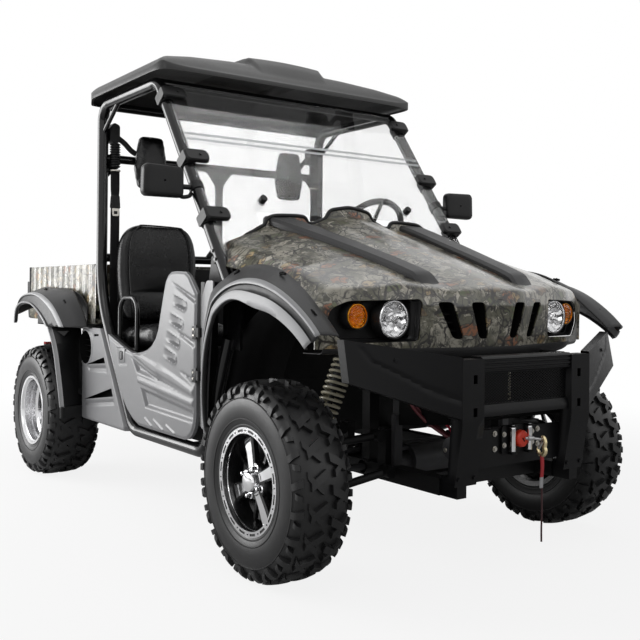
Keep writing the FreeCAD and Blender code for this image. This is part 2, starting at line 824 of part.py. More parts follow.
def driveline():
    """Front and rear gear cases with their half shafts, and the propeller shaft between them."""
    shapes = []
    for x in (float(front_x), float(rear_x)):
        case = Part.makeCylinder(58, 180, vec(x, -90, float(hub_z)), V(0, 1, 0))
        pieces = [case]
        for side in (-1, 1):
            pieces.append(Part.makeCylinder(36, 60, vec(x, side * 89, float(hub_z)), V(0, side, 0)))
            pieces.append(Part.makeCylinder(12, 320, vec(x, side * 148, float(hub_z)), V(0, side, 0)))
            pieces.append(Part.makeCone(34, 20, 60, vec(x, side * 515, float(hub_z)), V(0, -side, 0)))
        pieces.append(Part.makeBox(40, 459.4, 12, V(x - 20, -229.7, 352)))
        if x > 0:
            pieces.append(Part.makeCylinder(18, x - 44 - ENGINE_FRONT, vec(ENGINE_FRONT + 1, 0, float(hub_z) + 4), V(1, 0, 0)))
        shapes.append(fuse_shapes(pieces))
    return Part.makeCompound(shapes)


keep("driveline", feature("Driveline", driveline()))
rail_top = sized("rail_z") + sized("rail_size") + gap
engine_pieces = [box("EngineBlock", (rear_x + 280, ENGINE_FRONT), (-190, 190), (345, 600))]
for name, place_x in (("Rear", rear_x + 400), ("Front", as_size(ENGINE_FRONT - 80))):
    engine_pieces.append(box("EngineMount" + name, (place_x, place_x + 40), (-270, 270),
                             (rail_top, rail_top + 14)))
keep("engine", fused("Engine", engine_pieces))


# Front body: hood and nose in one moulding

HOOD = (
    # x, then heights of crown, bulge, valley, strip band, shoulder and side
    (585, 1200, 1184, 1152, 1144, 1068, 985),
    (850, 1098, 1092, 1070, 1072, 1018, 950),
    (1050, 1030, 1024, 1008, 1010, 968, 915),
    (1200, 978, 972, 958, 960, 912, 860),
    (1400, 900, 895, 884, 884, 838, 790),
)
HOOD_Y = (0, 100, 180, 360, 568, 612)

NOSE = (
    # z, then x of the nose at the middle, by the inner slot, the outer slot, the lamp and the corner
    (560, 1352, 1346, 1322, 1268, 1190),
    (718, 1376, 1370, 1344, 1290, 1212),
    (860, 1388, 1380, 1352, 1296, 1214),
    (1300, 1290, 1282, 1254, 1196, 1114),
)
NOSE_Y = (0, 110, 215, 440, 600)


def hood_solid(inset):
    """Everything under the hood's upper surface, moved in by the inset."""
    sections = []
    for x, *heights in HOOD:
        half = [(x, y - (inset if y > 500 else 0), z - inset) for y, z in zip(HOOD_Y, heights)]
        low = [(x, HOOD_Y[-1] - inset, 500)]
        near = half + low
        far = [(px, -py, pz) for px, py, pz in reversed(near) if py > 0]
        sections.append(near + far)
    return ruled(sections)


def nose_solid(inset):
    """Everything behind the nose's front and corner surface, moved in by the inset."""
    sections = []
    for z, *reaches in NOSE:
        near = [(x - inset, y - (inset if y > 500 else 0), z) for y, x in zip(NOSE_Y, reaches)]
        back = [(400, NOSE_Y[-1] - inset + 40, z)]
        half = near + back
        far = [(px, -py, pz) for px, py, pz in reversed(half) if py > 0]
        sections.append(half + far)
    return ruled(sections)


def front_solid(inset):
    return hood_solid(inset).common(nose_solid(inset))


ARCH_EDGE = (
    # x, z along the lower edge of the painted side, from the screen pillar to the nose
    (560, 940), (713, 944), (853, 973), (1023, 957), (1169, 890), (1214, 850), (1222, 700), (560, 600),
)
LAMP_POD = (
    # y, z round the lamp recess
    (296, 745), (290, 875), (520, 868), (566, 845), (582, 790), (526, 741),
)
SLOTS = (
    # y of the slot's middle at its foot and its top, both sides
    (76, 96), (172, 205),
)


def front_body():
    wall = float(sized("panel_wall"))
    shell = front_solid(0).cut(front_solid(wall))
    shell = shell.cut(prism("XZ", ARCH_EDGE, -700, 700))
    shell = shell.cut(prism("XZ", [(500, 500), (1500, 500), (1500, 722), (500, 722)], -700, 700))
    for foot, head in SLOTS:
        slot = prism("YZ", [(foot - 21, 752), (foot + 21, 752), (head + 24, 858), (head - 24, 858)], 1250, 1450)
        shell = shell.cut(slot).cut(other_side(slot))
    pod = prism("YZ", LAMP_POD, 1130, 1450)
    shell = shell.cut(pod).cut(other_side(pod))
    back = prism("XZ", [(500, 500), (591, 500), (591, 1300), (500, 1300)], -700, 700)
    return shell.cut(back).cut(pillar_clear).cut(other_side(pillar_clear))


def pillar_room(radius):
    """The space of a screen pillar, at the given radius."""
    base = vec(sized("pillar_base_x"), cage_y, sized("pillar_base_z"))
    top = vec(sized("pillar_top_x"), cage_y, sized("roof_rail_z"))
    along = (top - base).normalize()
    return Part.makeCylinder(radius, 600, base - along * 200, along)


pillar_clear = pillar_room(float(tube_r) + 3)


body_shape = front_body()
keep("front_body", feature("FrontBody", body_shape))

STRIP = (
    # x, inner y, outer y, top z over the hood surface
    (535, 240, 372, 1178), (620, 253, 377, 1162), (850, 222, 335, 1094), (1080, 196, 296, 1022),
    (1240, 178, 275, 968), (1300, 168, 262, 938),
)


def hood_strips():
    sections = []
    for x, inner, outer, top in STRIP:
        sections.append([(x, inner, top - 40), (x, inner + 6, top), (x, outer - 6, top), (x, outer, top - 40)])
    strip = ruled(sections).cut(front_solid(-float(gap)))
    strip = max(strip.Solids, key=lambda piece: piece.Volume)
    return Part.makeCompound([strip, other_side(strip)])


keep("hood_strips", feature("HoodStrips", hood_strips()))


def pod_outline(shrink):
    cy = sum(y for y, z in LAMP_POD) / len(LAMP_POD)
    cz = sum(z for y, z in LAMP_POD) / len(LAMP_POD)
    return [(y + (cy - y) * shrink, z + (cz - z) * shrink) for y, z in LAMP_POD]


def lamp_bezels():
    """Black recess behind each lamp opening: a floor set back from the nose, with side walls."""
    deep = front_solid(26)
    deeper = front_solid(32)
    flush = front_solid(3)
    floor = prism("YZ", pod_outline(0.012), 1100, 1450).common(deep.cut(deeper))
    wall = prism("YZ", pod_outline(0.012), 1100, 1450).cut(prism("YZ", pod_outline(0.06), 1100, 1450))
    wall = wall.common(flush.cut(deeper))
    bezel = floor.fuse(wall)
    for name in ("lamp", "signal"):
        y = float(sized(name + "_y"))
        z = float(sized(name + "_z"))
        hole = Part.makeCylinder(float(sized(name + "_radius")) + float(gap), 400, V(1080, y, z), V(1, 0, 0))
        bezel = bezel.cut(hole)
    bezel = max(bezel.Solids, key=lambda piece: piece.Volume)
    return Part.makeCompound([bezel, other_side(bezel)])


keep("lamp_bezels", feature("LampBezels", lamp_bezels()))


def lamp(name, back, front):
    """A round lamp with a domed lens that faces forward."""
    radius = float(sized(name + "_radius"))
    y = float(sized(name + "_y"))
    z = float(sized(name + "_z"))
    profile = [(0, 0), (radius * 0.7, 0), (radius, 25), (radius, front - back - 14),
               (radius * 0.82, front - back - 4), (0, front - back)]
    face = Part.Face(Part.makePolygon([V(r, 0, h) for r, h in profile + profile[:1]]))
    shape = face.revolve(V(0, 0, 0), V(0, 0, 1), 360)
    shape.Placement = FreeCAD.Placement(V(back, y, z), FreeCAD.Rotation(V(0, 1, 0), 90))
    return Part.makeCompound([shape, other_side(shape)])


keep("headlamps", feature("Headlamps", lamp("lamp", 1205, 1296)))
keep("turn_signals", feature("TurnSignals", lamp("signal", 1180, 1256)))


# Flares

FRONT_FLARE = (
    # angle round the arch, then seat, ridge and lip from its centre, then y of seat, ridge and lip
    (46, 440, 450, 392, 612.3, 690, 710),
    (61, 445, 454, 388, 612.3, 695, 712),
    (75, 472, 464, 390, 612.3, 700, 716),
    (90, 513, 478, 395, 612.3, 700, 716),
    (108, 558, 492, 438, 612.3, 700, 716),
    (123, 592, 502, 446, 612.3, 696, 712),
    (131, 590, 500, 446, 638.3, 684, 700),
    (140, 560, 490, 440, 638.3, 672, 690),
    (162, 470, 448, 418, 638.3, 656, 672),
    (187, 420, 408, 384, 638.3, 654, 668),
)
REAR_FLARE = (
    (134, 560, 500, 425, 612, 735, 762),
    (122, 582, 520, 470, 612, 740, 766),
    (102, 508, 484, 434, 612, 742, 766),
    (80, 503, 462, 392, 612, 742, 766),
    (60, 525, 455, 366, 640.3, 736, 762),
    (38, 512, 440, 345, 640.3, 724, 752),
    (14, 450, 415, 335, 640.3, 708, 744),
    (-8, 425, 405, 384, 640.3, 700, 740),
)


def on_arch(centre, angle, radius):
    """x and z of a point round a wheel arch."""
    swing = math.radians(angle)
    return (centre[0] + radius * math.cos(swing), centre[1] + radius * math.sin(swing))


def flare(rows, centre):
    """A moulded wheel arch of one thin section per row: seat, ridge and turned-down lip."""
    wall = float(sized("panel_wall"))
    sections = []
    for angle, seat, ridge, lip, seat_y, ridge_y, lip_y in rows:
        outline = (
            (seat, seat_y), (ridge, ridge_y), (lip, lip_y), (lip, lip_y - wall),
            (ridge - wall, ridge_y - wall), (seat - wall, seat_y),
        )
        corners = []
        for radius, y in outline:
            x, z = on_arch(centre, angle, radius)
            corners.append((x, y, z))
        sections.append(corners)
    return ruled(sections)


def front_flares():
    shape = flare(FRONT_FLARE, (float(front_x), 450)).cut(pillar_clear)
    shape = max(shape.Solids, key=lambda piece: piece.Volume)
    return Part.makeCompound([shape, other_side(shape)])


def rear_fenders():
    """Rear flares with the wall beside the bed and the shelf that rests on the chassis."""
    centre = (float(rear_x), 400)
    shelf = SHELF_Z
    edge = [on_arch(centre, row[0], row[1] - 3) for row in REAR_FLARE[:6]]
    wall = prism("XZ", [(edge[0][0], shelf)] + edge + [(edge[-1][0], shelf)], 607, 613)
    plate = Part.makeBox(edge[-1][0] - edge[0][0], 613 - 270.3, 6, V(edge[0][0], 270.3, shelf))
    join = prism("XZ", [(edge[4][0], shelf), edge[4], edge[5], (edge[5][0], shelf)], 607, 643)
    ahead = Part.makeBox(200, 100, 200, vec(rear_panel_x - 3, 600, shelf - 10))
    inside = fuse_shapes([wall, join, plate]).cut(ahead)
    shape = fuse_shapes([flare(REAR_FLARE, centre), inside])
    return Part.makeCompound([shape, other_side(shape)])


keep("front_flares", feature("FrontFlares", front_flares()))
keep("rear_fenders", feature("RearFenders", rear_fenders()))


# Roof

ROOF_FRONT = (
    # y, z across the roof, left half
    (0, 1866), (285, 1858), (610, 1818), (640, 1790), (650, 1730),
)


def roof_solid(inset):
    near = [(y - (inset if y > 600 else 0), z - inset) for y, z in ROOF_FRONT]
    near[-1] = (near[-1][0], 1600)
    far = [(-y, z) for y, z in reversed(near) if y > 0]
    across = prism("YZ", near + far, -700, 400)
    along = prism("XZ", [
        (-549 + inset, 1600), (236 - inset, 1600), (236 - inset, 1770 - inset), (196 - inset, 1800 - inset),
        (120 - inset, 1880 - inset), (-440 + inset, 1880 - inset), (-530 + inset, 1805 - inset),
        (-549 + inset, 1760 - inset)], -700, 700)
    return across.common(along)


ROOF_CROWN = (
    # x, half width at the foot and at the top, top height of the raised centre
    (190, 200, 170, 1822), (110, 244, 214, 1902), (-420, 244, 214, 1902), (-515, 226, 196, 1836),
)


def crown_solid(inset):
    sections = []
    for x, foot, top, height in ROOF_CROWN:
        sections.append([
            (x, foot - inset, 1740), (x, foot - inset, height - 30 - inset), (x, top - inset, height - inset),
            (x, -top + inset, height - inset), (x, -foot + inset, height - 30 - inset), (x, -foot + inset, 1740)])
    return ruled(sections)


def roof():
    wall = float(sized("roof_wall"))
    outer = roof_solid(0).fuse(crown_solid(0))
    inner = roof_solid(wall).fuse(crown_solid(wall))
    shell = outer.cut(inner)
    skirt = prism("XZ", [
        (-700, 1500), (400, 1500), (400, 1762), (236, 1762), (181, 1753), (-475, 1753), (-549, 1733),
        (-700, 1733)], -700, 700)
    shell = shell.cut(skirt)
    feet = []
    rail_top_z = float(sized("roof_rail_z") + tube_r + gap)
    for x in (-400, 60):
        foot = Part.makeCylinder(14, 1815 - rail_top_z, V(x, float(cage_y), rail_top_z))
        feet += [foot, other_side(foot)]
    return fuse_shapes([max(shell.Solids, key=lambda piece: piece.Volume)] + feet)


keep("roof", feature("Roof", roof()))


# Windscreen

def screen():
    base = vec(sized("pillar_base_x"), 0, sized("pillar_base_z"))
    top = vec(sized("pillar_top_x"), 0, sized("roof_rail_z"))
    along = (top - base).normalize()
    out = V(along.z, 0, -along.x)
    start = float(tube_r) + float(gap)
    wall = float(sized("screen_wall"))
    length = (top - base).Length
    outline = (
        # across, up along the pillar
        (-600, 135), (-600, length - 75), (-540, length - 30), (540, length - 30), (600, length - 75), (600, 135),
    )
    corners = [base + along * s + out * start + V(0, y, 0) for y, s in outline]
    face = Part.Face(Part.makePolygon(corners + corners[:1]))
    sheet_solid = face.extrude(out * wall)
    return sheet_solid.cut(hood_clear).cut(strip_clear)


hood_clear = hood_solid(-3)
strip_clear = prism("XZ", [(500, 900), (800, 900), (660, 1172), (500, 1195)], -400, 400)
keep("windshield", feature("Windshield", screen()))


CLAMP_WIDTH = 56
CLAMP_REACH = 46
CLAMP_THICK = 20


def screen_clamps():
    """Clamps that hold the screen's edges to the pillars, and its two knobs."""
    base = vec(sized("pillar_base_x"), 0, sized("pillar_base_z"))
    top = vec(sized("pillar_top_x"), 0, sized("roof_rail_z"))
    along = (top - base).normalize()
    out = V(along.z, 0, -along.x)
    start = float(tube_r) + float(sized("screen_wall")) + 2 * float(gap)
    shapes = []
    y = float(cage_y)
    for height in (1647, 1377, 1150):
        spot = base + along * ((height - base.z) / along.z) + V(0, y, 0)
        side = float(tube_r + gap)
        half = CLAMP_WIDTH / 2
        block = Part.makeBox(CLAMP_WIDTH, side + 8 + CLAMP_REACH, CLAMP_THICK, V(-half, -CLAMP_REACH, start))
        end = Part.makeCylinder(half, CLAMP_THICK, V(0, -CLAMP_REACH, start))
        strap = Part.makeBox(CLAMP_WIDTH, 8, start + 24 + CLAMP_THICK, V(-half, side, -24))
        clamp = fuse_shapes([block, end, strap])
        clamp.Placement = FreeCAD.Placement(spot, FreeCAD.Rotation(along, V(0, 1, 0), out, "XYZ"))
        shapes += [clamp, other_side(clamp)]
    knob_y = 361
    knob = Part.makeCylinder(15, 30, base + along * ((1213 - base.z) / along.z) + V(0, knob_y, 0) + out * start, out)
    shapes += [knob, other_side(knob)]
    return Part.makeCompound(shapes)


keep("windshield_clamps", feature("WindshieldClamps", screen_clamps()))


# Cab

def cab_tub():
    """Floor, seat box, back panel and toe board as one bent sheet between the sill tubes."""
    wall = float(sized("panel_wall"))
    half = float(cage_y) - float(tube_r) - 4
    outline = [
        (600, 1030), (600, 560), (520, 341), (520, 338.3), (0, 338.3), (-20, 640), (-440, 620), (-440, 990),
    ]
    sheet_pieces = []
    for (x0, z0), (x1, z1) in zip(outline, outline[1:]):
        way = V(x1 - x0, 0, z1 - z0).normalize()
        side = V(way.z, 0, -way.x) * (wall / 2)
        a = V(x0, 0, z0) - way * (wall / 2)
        b = V(x1, 0, z1) + way * (wall / 2)
        corners = [(p.x, p.z) for p in (a + side, b + side, b - side, a - side)]
        sheet_pieces.append(prism("XZ", corners, -half, half))
    seat_side = prism("XZ", [(2, 340), (-18, 636), (-436, 616), (-330, 560), (-130, 340)],
                      half - 6, half)
    pieces = sheet_pieces + [seat_side, other_side(seat_side)]
    return fuse_shapes(pieces)


keep("cab_tub", feature("CabTub", cab_tub()))


WHEEL_TILT = math.radians(35)
WHEEL_CENTRE = V(270, 350, 1150)
WHEEL_FACING = V(-math.cos(WHEEL_TILT), 0, math.sin(WHEEL_TILT))


def dash():
    block = prism("XZ", [
        (480, 860), (430, 930), (450, 1020), (520, 1050), (596.7, 1050), (596.7, 860)], -540, 540)
    return block.cut(Part.makeCylinder(16.6, 290, WHEEL_CENTRE, -WHEEL_FACING))


keep("dash", feature("Dash", dash()))

def seat_cushions():
    shapes = []
    for y in (-1, 1):
        shape = prism("XZ", [(-10, 644.2), (-7, 700), (-40, 765), (-330, 742), (-380, 700), (-380, 626.6)],
                      y * 365 - 195, y * 365 + 195)
        shapes.append(shape)
    return Part.makeCompound(shapes)


def seat_backs():
    shapes = []
    for y in (-1, 1):
        shape = prism("XZ", [(-300, 752), (-330, 900), (-350, 1190), (-400, 1200), (-436.7, 1100),
                             (-436.7, 700), (-386, 705), (-338, 749)], y * 365 - 195, y * 365 + 195)
        shapes.append(shape)
    return Part.makeCompound(shapes)


keep("seat_cushions", feature("SeatCushions", seat_cushions()))
keep("seat_backs", feature("SeatBacks", seat_backs()))


def headrests():
    shapes = []
    for side in (-1, 1):
        pad_shape = prism("YZ", [(-65, 1357), (65, 1357), (85, 1450), (60, 1606), (-60, 1606), (-85, 1450)], -444.7, -396)
        pad_shape.translate(V(0, side * 384, 0))
        shapes.append(pad_shape)
    return Part.makeCompound(shapes)


keep("headrests", feature("Headrests", headrests()))


def seat_belts():
    """Retractor, shoulder webbing and lap webbing of each seat, all lying flat."""
    shapes = []
    for side in (-1, 1):
        reel = Part.makeBox(50, 46, 80, V(-489, side * 552.7 - 23, 1560))
        web = Part.makeBox(3, 46, 560, V(-440, side * 552 - 23, 1000))
        link = Part.makeBox(12, 20, 60, V(-440, side * 552 - 10, 1556))
        shapes.append(fuse_shapes([reel, web, link]))
    return Part.makeCompound(shapes)


keep("seat_belts", feature("SeatBelts", seat_belts()))


# Doors

DOOR = (
    # x, z round the right and left door
    (-300, 700), (-94, 640), (40, 661), (135, 672), (200, 722), (262, 933), (312, 966), (420, 962),
    (524, 884), (506, 767), (520, 431), (440, 345), (20, 345), (-94, 394), (-197, 498),
)


DOOR_BARS = (
    # x, z round each raised bar that falls from the latch to the hinges
    ((-72, 657), (113, 624), (312, 588), (505, 540), (505, 508), (342, 540), (161, 572), (-58, 634)),
    ((14, 547), (269, 524), (505, 500), (505, 470), (270, 493), (22, 519)),
)
DOOR_HOLLOWS = (
    # x, z round each hollow beside the bars and by the hinges
    ((-40, 616), (14, 558), (250, 536), (498, 508), (342, 532), (161, 563)),
    ((40, 506), (92, 424), (498, 412), (498, 462), (270, 484)),
    ((300, 934), (506, 872), (506, 842), (356, 898)),
    ((352, 750), (504, 716), (504, 684), (398, 720)),
)
DOOR_SCOOPS = (
    # x, z where each scoop starts flush, and x, z of its deep end
    (322, 865, 424, 839), (293, 796, 400, 769), (270, 727, 376, 699), (248, 663, 350, 637),
)


def door_scoop(row, face_y, deep):
    """A wedge that sinks from the door's face towards the hinges, 34 mm across."""
    x0, z0, x1, z1 = row
    start = V(x0, face_y, z0)
    end = V(x1, face_y, z1)
    across = V(z1 - z0, 0, x0 - x1).normalize() * 17
    out = V(0, 1, 0)
    side = [start + out, end + out, end - out * deep, start + out * 0.5]
    corners = [p - across for p in side]
    wedge = Part.Face(Part.makePolygon(corners + corners[:1])).extrude(across * 2)
    tip = Part.makeCylinder(17, deep + 1, end - out * deep, out)
    return wedge.fuse(tip)


def door():
    """Moulded door: raised bars, hollows between them, four scoops, and its half of the hinges."""
    outer = sized("door_outer")
    relief = sized("door_relief")
    face = outer - relief
    body = new_body("DoorPanel")
    pad(body, "DoorShell", "XZ", [DOOR], outer - sized("door_wall"), face)
    pad(body, "DoorBars", "XZ", DOOR_BARS, face - 1, outer)
    pocket(body, "DoorHollows", "XZ", DOOR_HOLLOWS, face - relief, face + relief)
    doc.recompute()
    shape = body.Shape
    for row in DOOR_SCOOPS:
        shape = shape.cut(door_scoop(row, float(face), float(relief)))
    hinge_x = float(sized("hinge_x"))
    pieces = [shape]
    for z in (745, 590):
        pieces.append(Part.makeBox(34, 5, 34, V(hinge_x - 36, float(outer) - 8, z - 17)))
        pieces.append(Part.makeCylinder(float(sized("hinge_radius")), 34, V(hinge_x, float(outer) - 5, z - 17)))
    tube_room = side_loop(1, float(tube_r + sized("door_gap")))
    return fuse_shapes(pieces).cut(tube_room)


door_shape = door()
keep("door_left", feature("DoorLeft", door_shape))
keep("door_right", feature("DoorRight", other_side(door_shape)))

# Side panels

def cowl_side():
    """Fixed panel ahead of the door, with the fixed halves of its hinges."""
    outer = float(sized("door_outer"))
    panel = prism("XZ", [
        (560, 405), (560, 870), (590, 930), (640, 930), (636, 830), (620, 700), (606, 560), (600, 405)],
        outer - 10, outer - 4)
    pieces = [panel]
    hinge_x = float(sized("hinge_x"))
    for z in (745, 590):
        for low in (z - 29.3, z + 17.3):
            pieces.append(Part.makeBox(24, 6, 12, V(hinge_x, outer - 8, low)))
            pieces.append(Part.makeCylinder(float(sized("hinge_radius")), 12, V(hinge_x, outer - 5, low)))
    for z, inner in ((450, 624.3), (850, 572.3)):
        pieces.append(Part.makeBox(20, outer - 9 - inner, 20, V(576, inner, z)))
    return fuse_shapes(pieces)


def rear_side():
    outer = float(sized("door_outer")) - 2
    wall = float(sized("panel_wall"))
    rear = float(rear_panel_x)
    cab_rear = float(sized("cage_rear_x"))
    outline = [
        (rear, 302), (-160, 302), (-250, 434), (-420, 688), (cab_rear - 28, 850), (rear + 40, 850), (rear + 2, 760)]
    face = Part.Face(Part.makePolygon([V(x, outer - 30, z) for x, z in outline + outline[:1]]))
    panel = face.extrude(V(0, 30, 0))
    inside = face.makeOffset2D(-wall - 2).extrude(V(0, 30 - wall, 0))
    hole = Part.makeCylinder(75, 60, V(rear + 40, outer - 40, 635), V(0, 1, 0))
    crease = prism("XZ", [(rear + 60, 560), (-330, 500), (-330, 488), (rear + 60, 536)], outer - 2, outer + 1)
    lower = prism("XZ", [(rear + 20, 452), (-270, 420), (-262, 408), (rear + 20, 428)], outer - 2, outer + 1)
    return panel.cut(inside).cut(hole).cut(crease).cut(lower)


side_shapes = []
for piece in (cowl_side(), rear_side()):
    side_shapes += [piece, other_side(piece)]
keep("side_panels", feature("SidePanels", Part.makeCompound(side_shapes)))


# Mirrors

def mirrors():
    shell = prism("YZ", [(-80, -45), (-72, -58), (70, -60), (82, -46), (80, 46), (66, 60), (-66, 56), (-80, 42)], 0, 40)
    shell.translate(V(420, 737, 1289))
    stalk = Part.makeBox(22, 54, 22, V(430, 624.3, 1262))
    shape = shell.fuse(stalk)
    return Part.makeCompound([shape, other_side(shape)])


keep("mirrors", feature("Mirrors", mirrors()))


# Cargo bed

BED_RIB_PITCH = 80


def bed():
    """Box with open rear, runners that rest on the chassis, pivot lugs and tailgate ears."""
    half = float(sized("bed_half_width"))
    front = float(sized("bed_front_x"))
    rear = float(rear_end) + 54
    floor = float(sized("bed_floor_z"))
    top = float(sized("bed_top_z"))
    wall = float(sized("bed_wall"))
    outer = Part.makeBox(front - rear, 2 * half, top - floor, V(rear, -half, floor))
    inner = Part.makeBox(front - wall - rear + 10, 2 * (half - wall), top - floor,
                         V(rear - 10, -half + wall, floor + 12))
    ribbed = outer.cut(inner)
    for x in range(int(rear) + 50, int(front) - 40, BED_RIB_PITCH):
        for side in (-1, 1):
            groove = prism("YZ", [(side * (half + 1), floor + 60), (side * (half - 7), floor + 72),
                                  (side * (half - 7), top + 1), (side * (half + 1), top + 1)], x, x + BED_RIB_PITCH / 2)
            ribbed = ribbed.cut(groove)
    pieces = [ribbed]
    pin_x = float(bed_pivot_x)
    pin_z = float(sized("bed_pivot_z"))
    ear_x = float(tailgate_hinge_x)
    ear_z = float(sized("tailgate_hinge_z"))
    for side in (-1, 1):
        pieces.append(Part.makeBox(front - 35 - pin_x - 10, 30, floor + 0.5 - BED_REST - float(gap),
                                   V(pin_x + 10, side * 250 - 15, BED_REST + float(gap))))
        pieces.append(Part.makeCylinder(8, 60, V(pin_x, side * 212 - 30, pin_z), V(0, 1, 0)))
        pieces.append(Part.makeBox(24, 12, floor + 1 - pin_z + 8, V(pin_x - 12, side * 190 - 6, pin_z - 8)))
        ear = Part.makeBox(rear - ear_x + 9, 20, 18, V(ear_x - 8, side * 415 - 10, ear_z - 10))
        pieces.append(ear.cut(Part.makeCylinder(4.6, 40, V(ear_x, side * 415 - 20, ear_z), V(0, 1, 0))))
    return fuse_shapes(pieces)


keep("bed", feature("Bed", bed()))


def tailgate():
    half = float(sized("bed_half_width"))
    rear = float(rear_end)
    top = float(sized("bed_top_z"))
    hinge_x = float(tailgate_hinge_x)
    hinge_z = float(sized("tailgate_hinge_z"))
    low = hinge_z - 8
    panel = prism("XZ", [
        (rear + 44, low), (rear + 44, top), (rear + 30, top), (rear + 30, 934), (rear, 934),
        (rear, 833), (rear + 24, low)], -half + 4, half - 4)
    for side in (-1, 1):
        notch = Part.makeBox(100, 32, 24, V(rear - 10, side * 415 - 16, low))
        panel = panel.cut(notch)
        panel = panel.fuse(Part.makeCylinder(4, 32, V(hinge_x, side * 415 - 16, hinge_z), V(0, 1, 0)))
    return panel


keep("tailgate", feature("Tailgate", tailgate()))


# Bumper and winch

def bumper():
    """Centre frame with its uprights, and a folded wing each side."""
    ahead = float(front_end)
    top_bar = Part.makeBox(50, 600, 50, V(ahead - 54, -300, 656))
    for z in (666, 679, 692):
        top_bar = top_bar.cut(Part.makeBox(5, 376, 5, V(ahead - 7, -188, z)))
    bars = [top_bar, Part.makeBox(40, 600, 36, V(ahead - 51, -300, 524))]
    for side in (-1, 1):
        upright = prism("XZ", [(ahead - 66, 322), (ahead - 31, 322), (ahead, 500), (ahead, 700),
                               (ahead - 50, 700), (ahead - 50, 500)], side * 245 - 45, side * 245 + 45)
        for z in (640, 543):
            upright = upright.cut(Part.makeBox(100, 16, 26, V(ahead - 76, side * 237 - 8, z - 13)))
        wing = ruled([
            [(ahead, side * 288, 525), (ahead, side * 288, 706),
             (ahead - 36, side * 288, 706), (ahead - 36, side * 288, 525)],
            [(ahead - 134, side * 604, 636), (ahead - 160, side * 604, 758),
             (ahead - 186, side * 604, 748), (ahead - 160, side * 604, 630)],
        ])
        bracket = Part.makeBox(70, 40, 60, V(ahead - 106 + float(gap), side * 255 - 20, 285))
        bars += [upright, wing, bracket]
    bars.append(Part.makeBox(6, 480, 115, V(ahead - 60, -240, 361)))
    return fuse_shapes(bars)


keep("bumper", feature("Bumper", bumper()))


def bumper_mesh():
    return Part.makeBox(4, 398, 95, vec(front_end - 26, -199, 560.5))


keep("bumper_mesh", feature("BumperMesh", bumper_mesh()))


def winch():
    x = float(front_end) - 116
    drum = Part.makeCylinder(45, 240, V(x, -110, 420), V(0, 1, 0))
    motor = Part.makeCylinder(38, 120, V(x, -229, 420), V(0, 1, 0))
    gear_case = Part.makeCylinder(50, 60, V(x, 129, 420), V(0, 1, 0))
    foot = Part.makeBox(56 - float(gap), 200, 22, V(x, -100, 362))
    return fuse_shapes([drum, motor, gear_case, foot])


keep("winch", feature("Winch", winch()))


def fairlead():
    back = float(front_end) - 54 + float(gap)
    plate = Part.makeBox(8, 150, 90, V(back, -75, 396))
    slot = Part.makeBox(20, 50, 24, V(back - 7, -25, 430))
    pieces = [plate.cut(slot)]
    for side in (-1, 1):
        pieces.append(Part.makeCylinder(9, 84, V(back + 19.7, side * 38, 400)))
        pieces.append(Part.makeBox(24, 22, 6, V(back + 5.7, side * 38 - 11, 396)))
        pieces.append(Part.makeBox(24, 22, 6, V(back + 5.7, side * 38 - 11, 480)))
    pieces.append(Part.makeCylinder(27, 25, V(back + 6.7, 0, 442), V(1, 0, 0)))
    return fuse_shapes(pieces)


keep("fairlead", feature("Fairlead", fairlead()))


HOOK = (
    # x from the cable's end, z round the hook, seen from the side
    (-8, 26), (8, 26), (10, 8), (18, -6), (18, -26), (6, -38), (-12, -38), (-22, -24), (-22, -10), (-14, -8),
    (-10, -22), (0, -27), (8, -20), (8, -8), (-4, 4),
)


def winch_hook():
    """Cable end that leaves the stop, and the forged hook that hangs from it."""
    x = float(hook_x)
    shank = straight((x - 13.4, 4, 444), (x, 58, 438), 6)
    hook = prism("XZ", [(x + along, 424 + z) for along, z in HOOK], 53, 67)
    return fuse_shapes([shank, hook])


hook_x = front_end - 2
keep("winch_hook", feature("WinchHook", winch_hook()))
keep("pull_strap", box("PullStrap", (hook_x - 1.5, hook_x + 1.5), (52.5, 67.5), (285, 385.7)))
keep("strap_tail", rod("StrapTail", "Z", (hook_x, 60, 118), 3, 166.7))


# Steering wheel with its column

def steering_wheel():
    radius = float(sized("wheel_ring_radius"))
    grip = float(sized("grip_radius"))
    corners = []
    for k in range(8):
        swing = math.radians(45 * k + 22.5)
        corners.append(V(radius + grip * math.cos(swing), 0, grip * math.sin(swing)))
    ring = Part.Face(Part.makePolygon(corners + corners[:1])).revolve(V(0, 0, 0), V(0, 0, 1), 360)
    ring.Placement = FreeCAD.Placement(WHEEL_CENTRE, FreeCAD.Rotation(V(0, 0, 1), WHEEL_FACING))
    hub = Part.makeCylinder(48, 30, WHEEL_CENTRE - WHEEL_FACING * 15, WHEEL_FACING)
    column = Part.makeCylinder(16, 255, WHEEL_CENTRE - WHEEL_FACING * 15, -WHEEL_FACING)
    pieces = [ring, hub, column]
    up = V(math.sin(WHEEL_TILT), 0, math.cos(WHEEL_TILT))
    for angle in (90, 210, 330):
        way = up * math.sin(math.radians(angle)) + V(0, 1, 0) * math.cos(math.radians(angle))
        pieces.append(Part.makeCylinder(9, radius, WHEEL_CENTRE, way))
    return fuse_shapes(pieces)


keep("steering_wheel", feature("SteeringWheel", steering_wheel()))

# Rear end

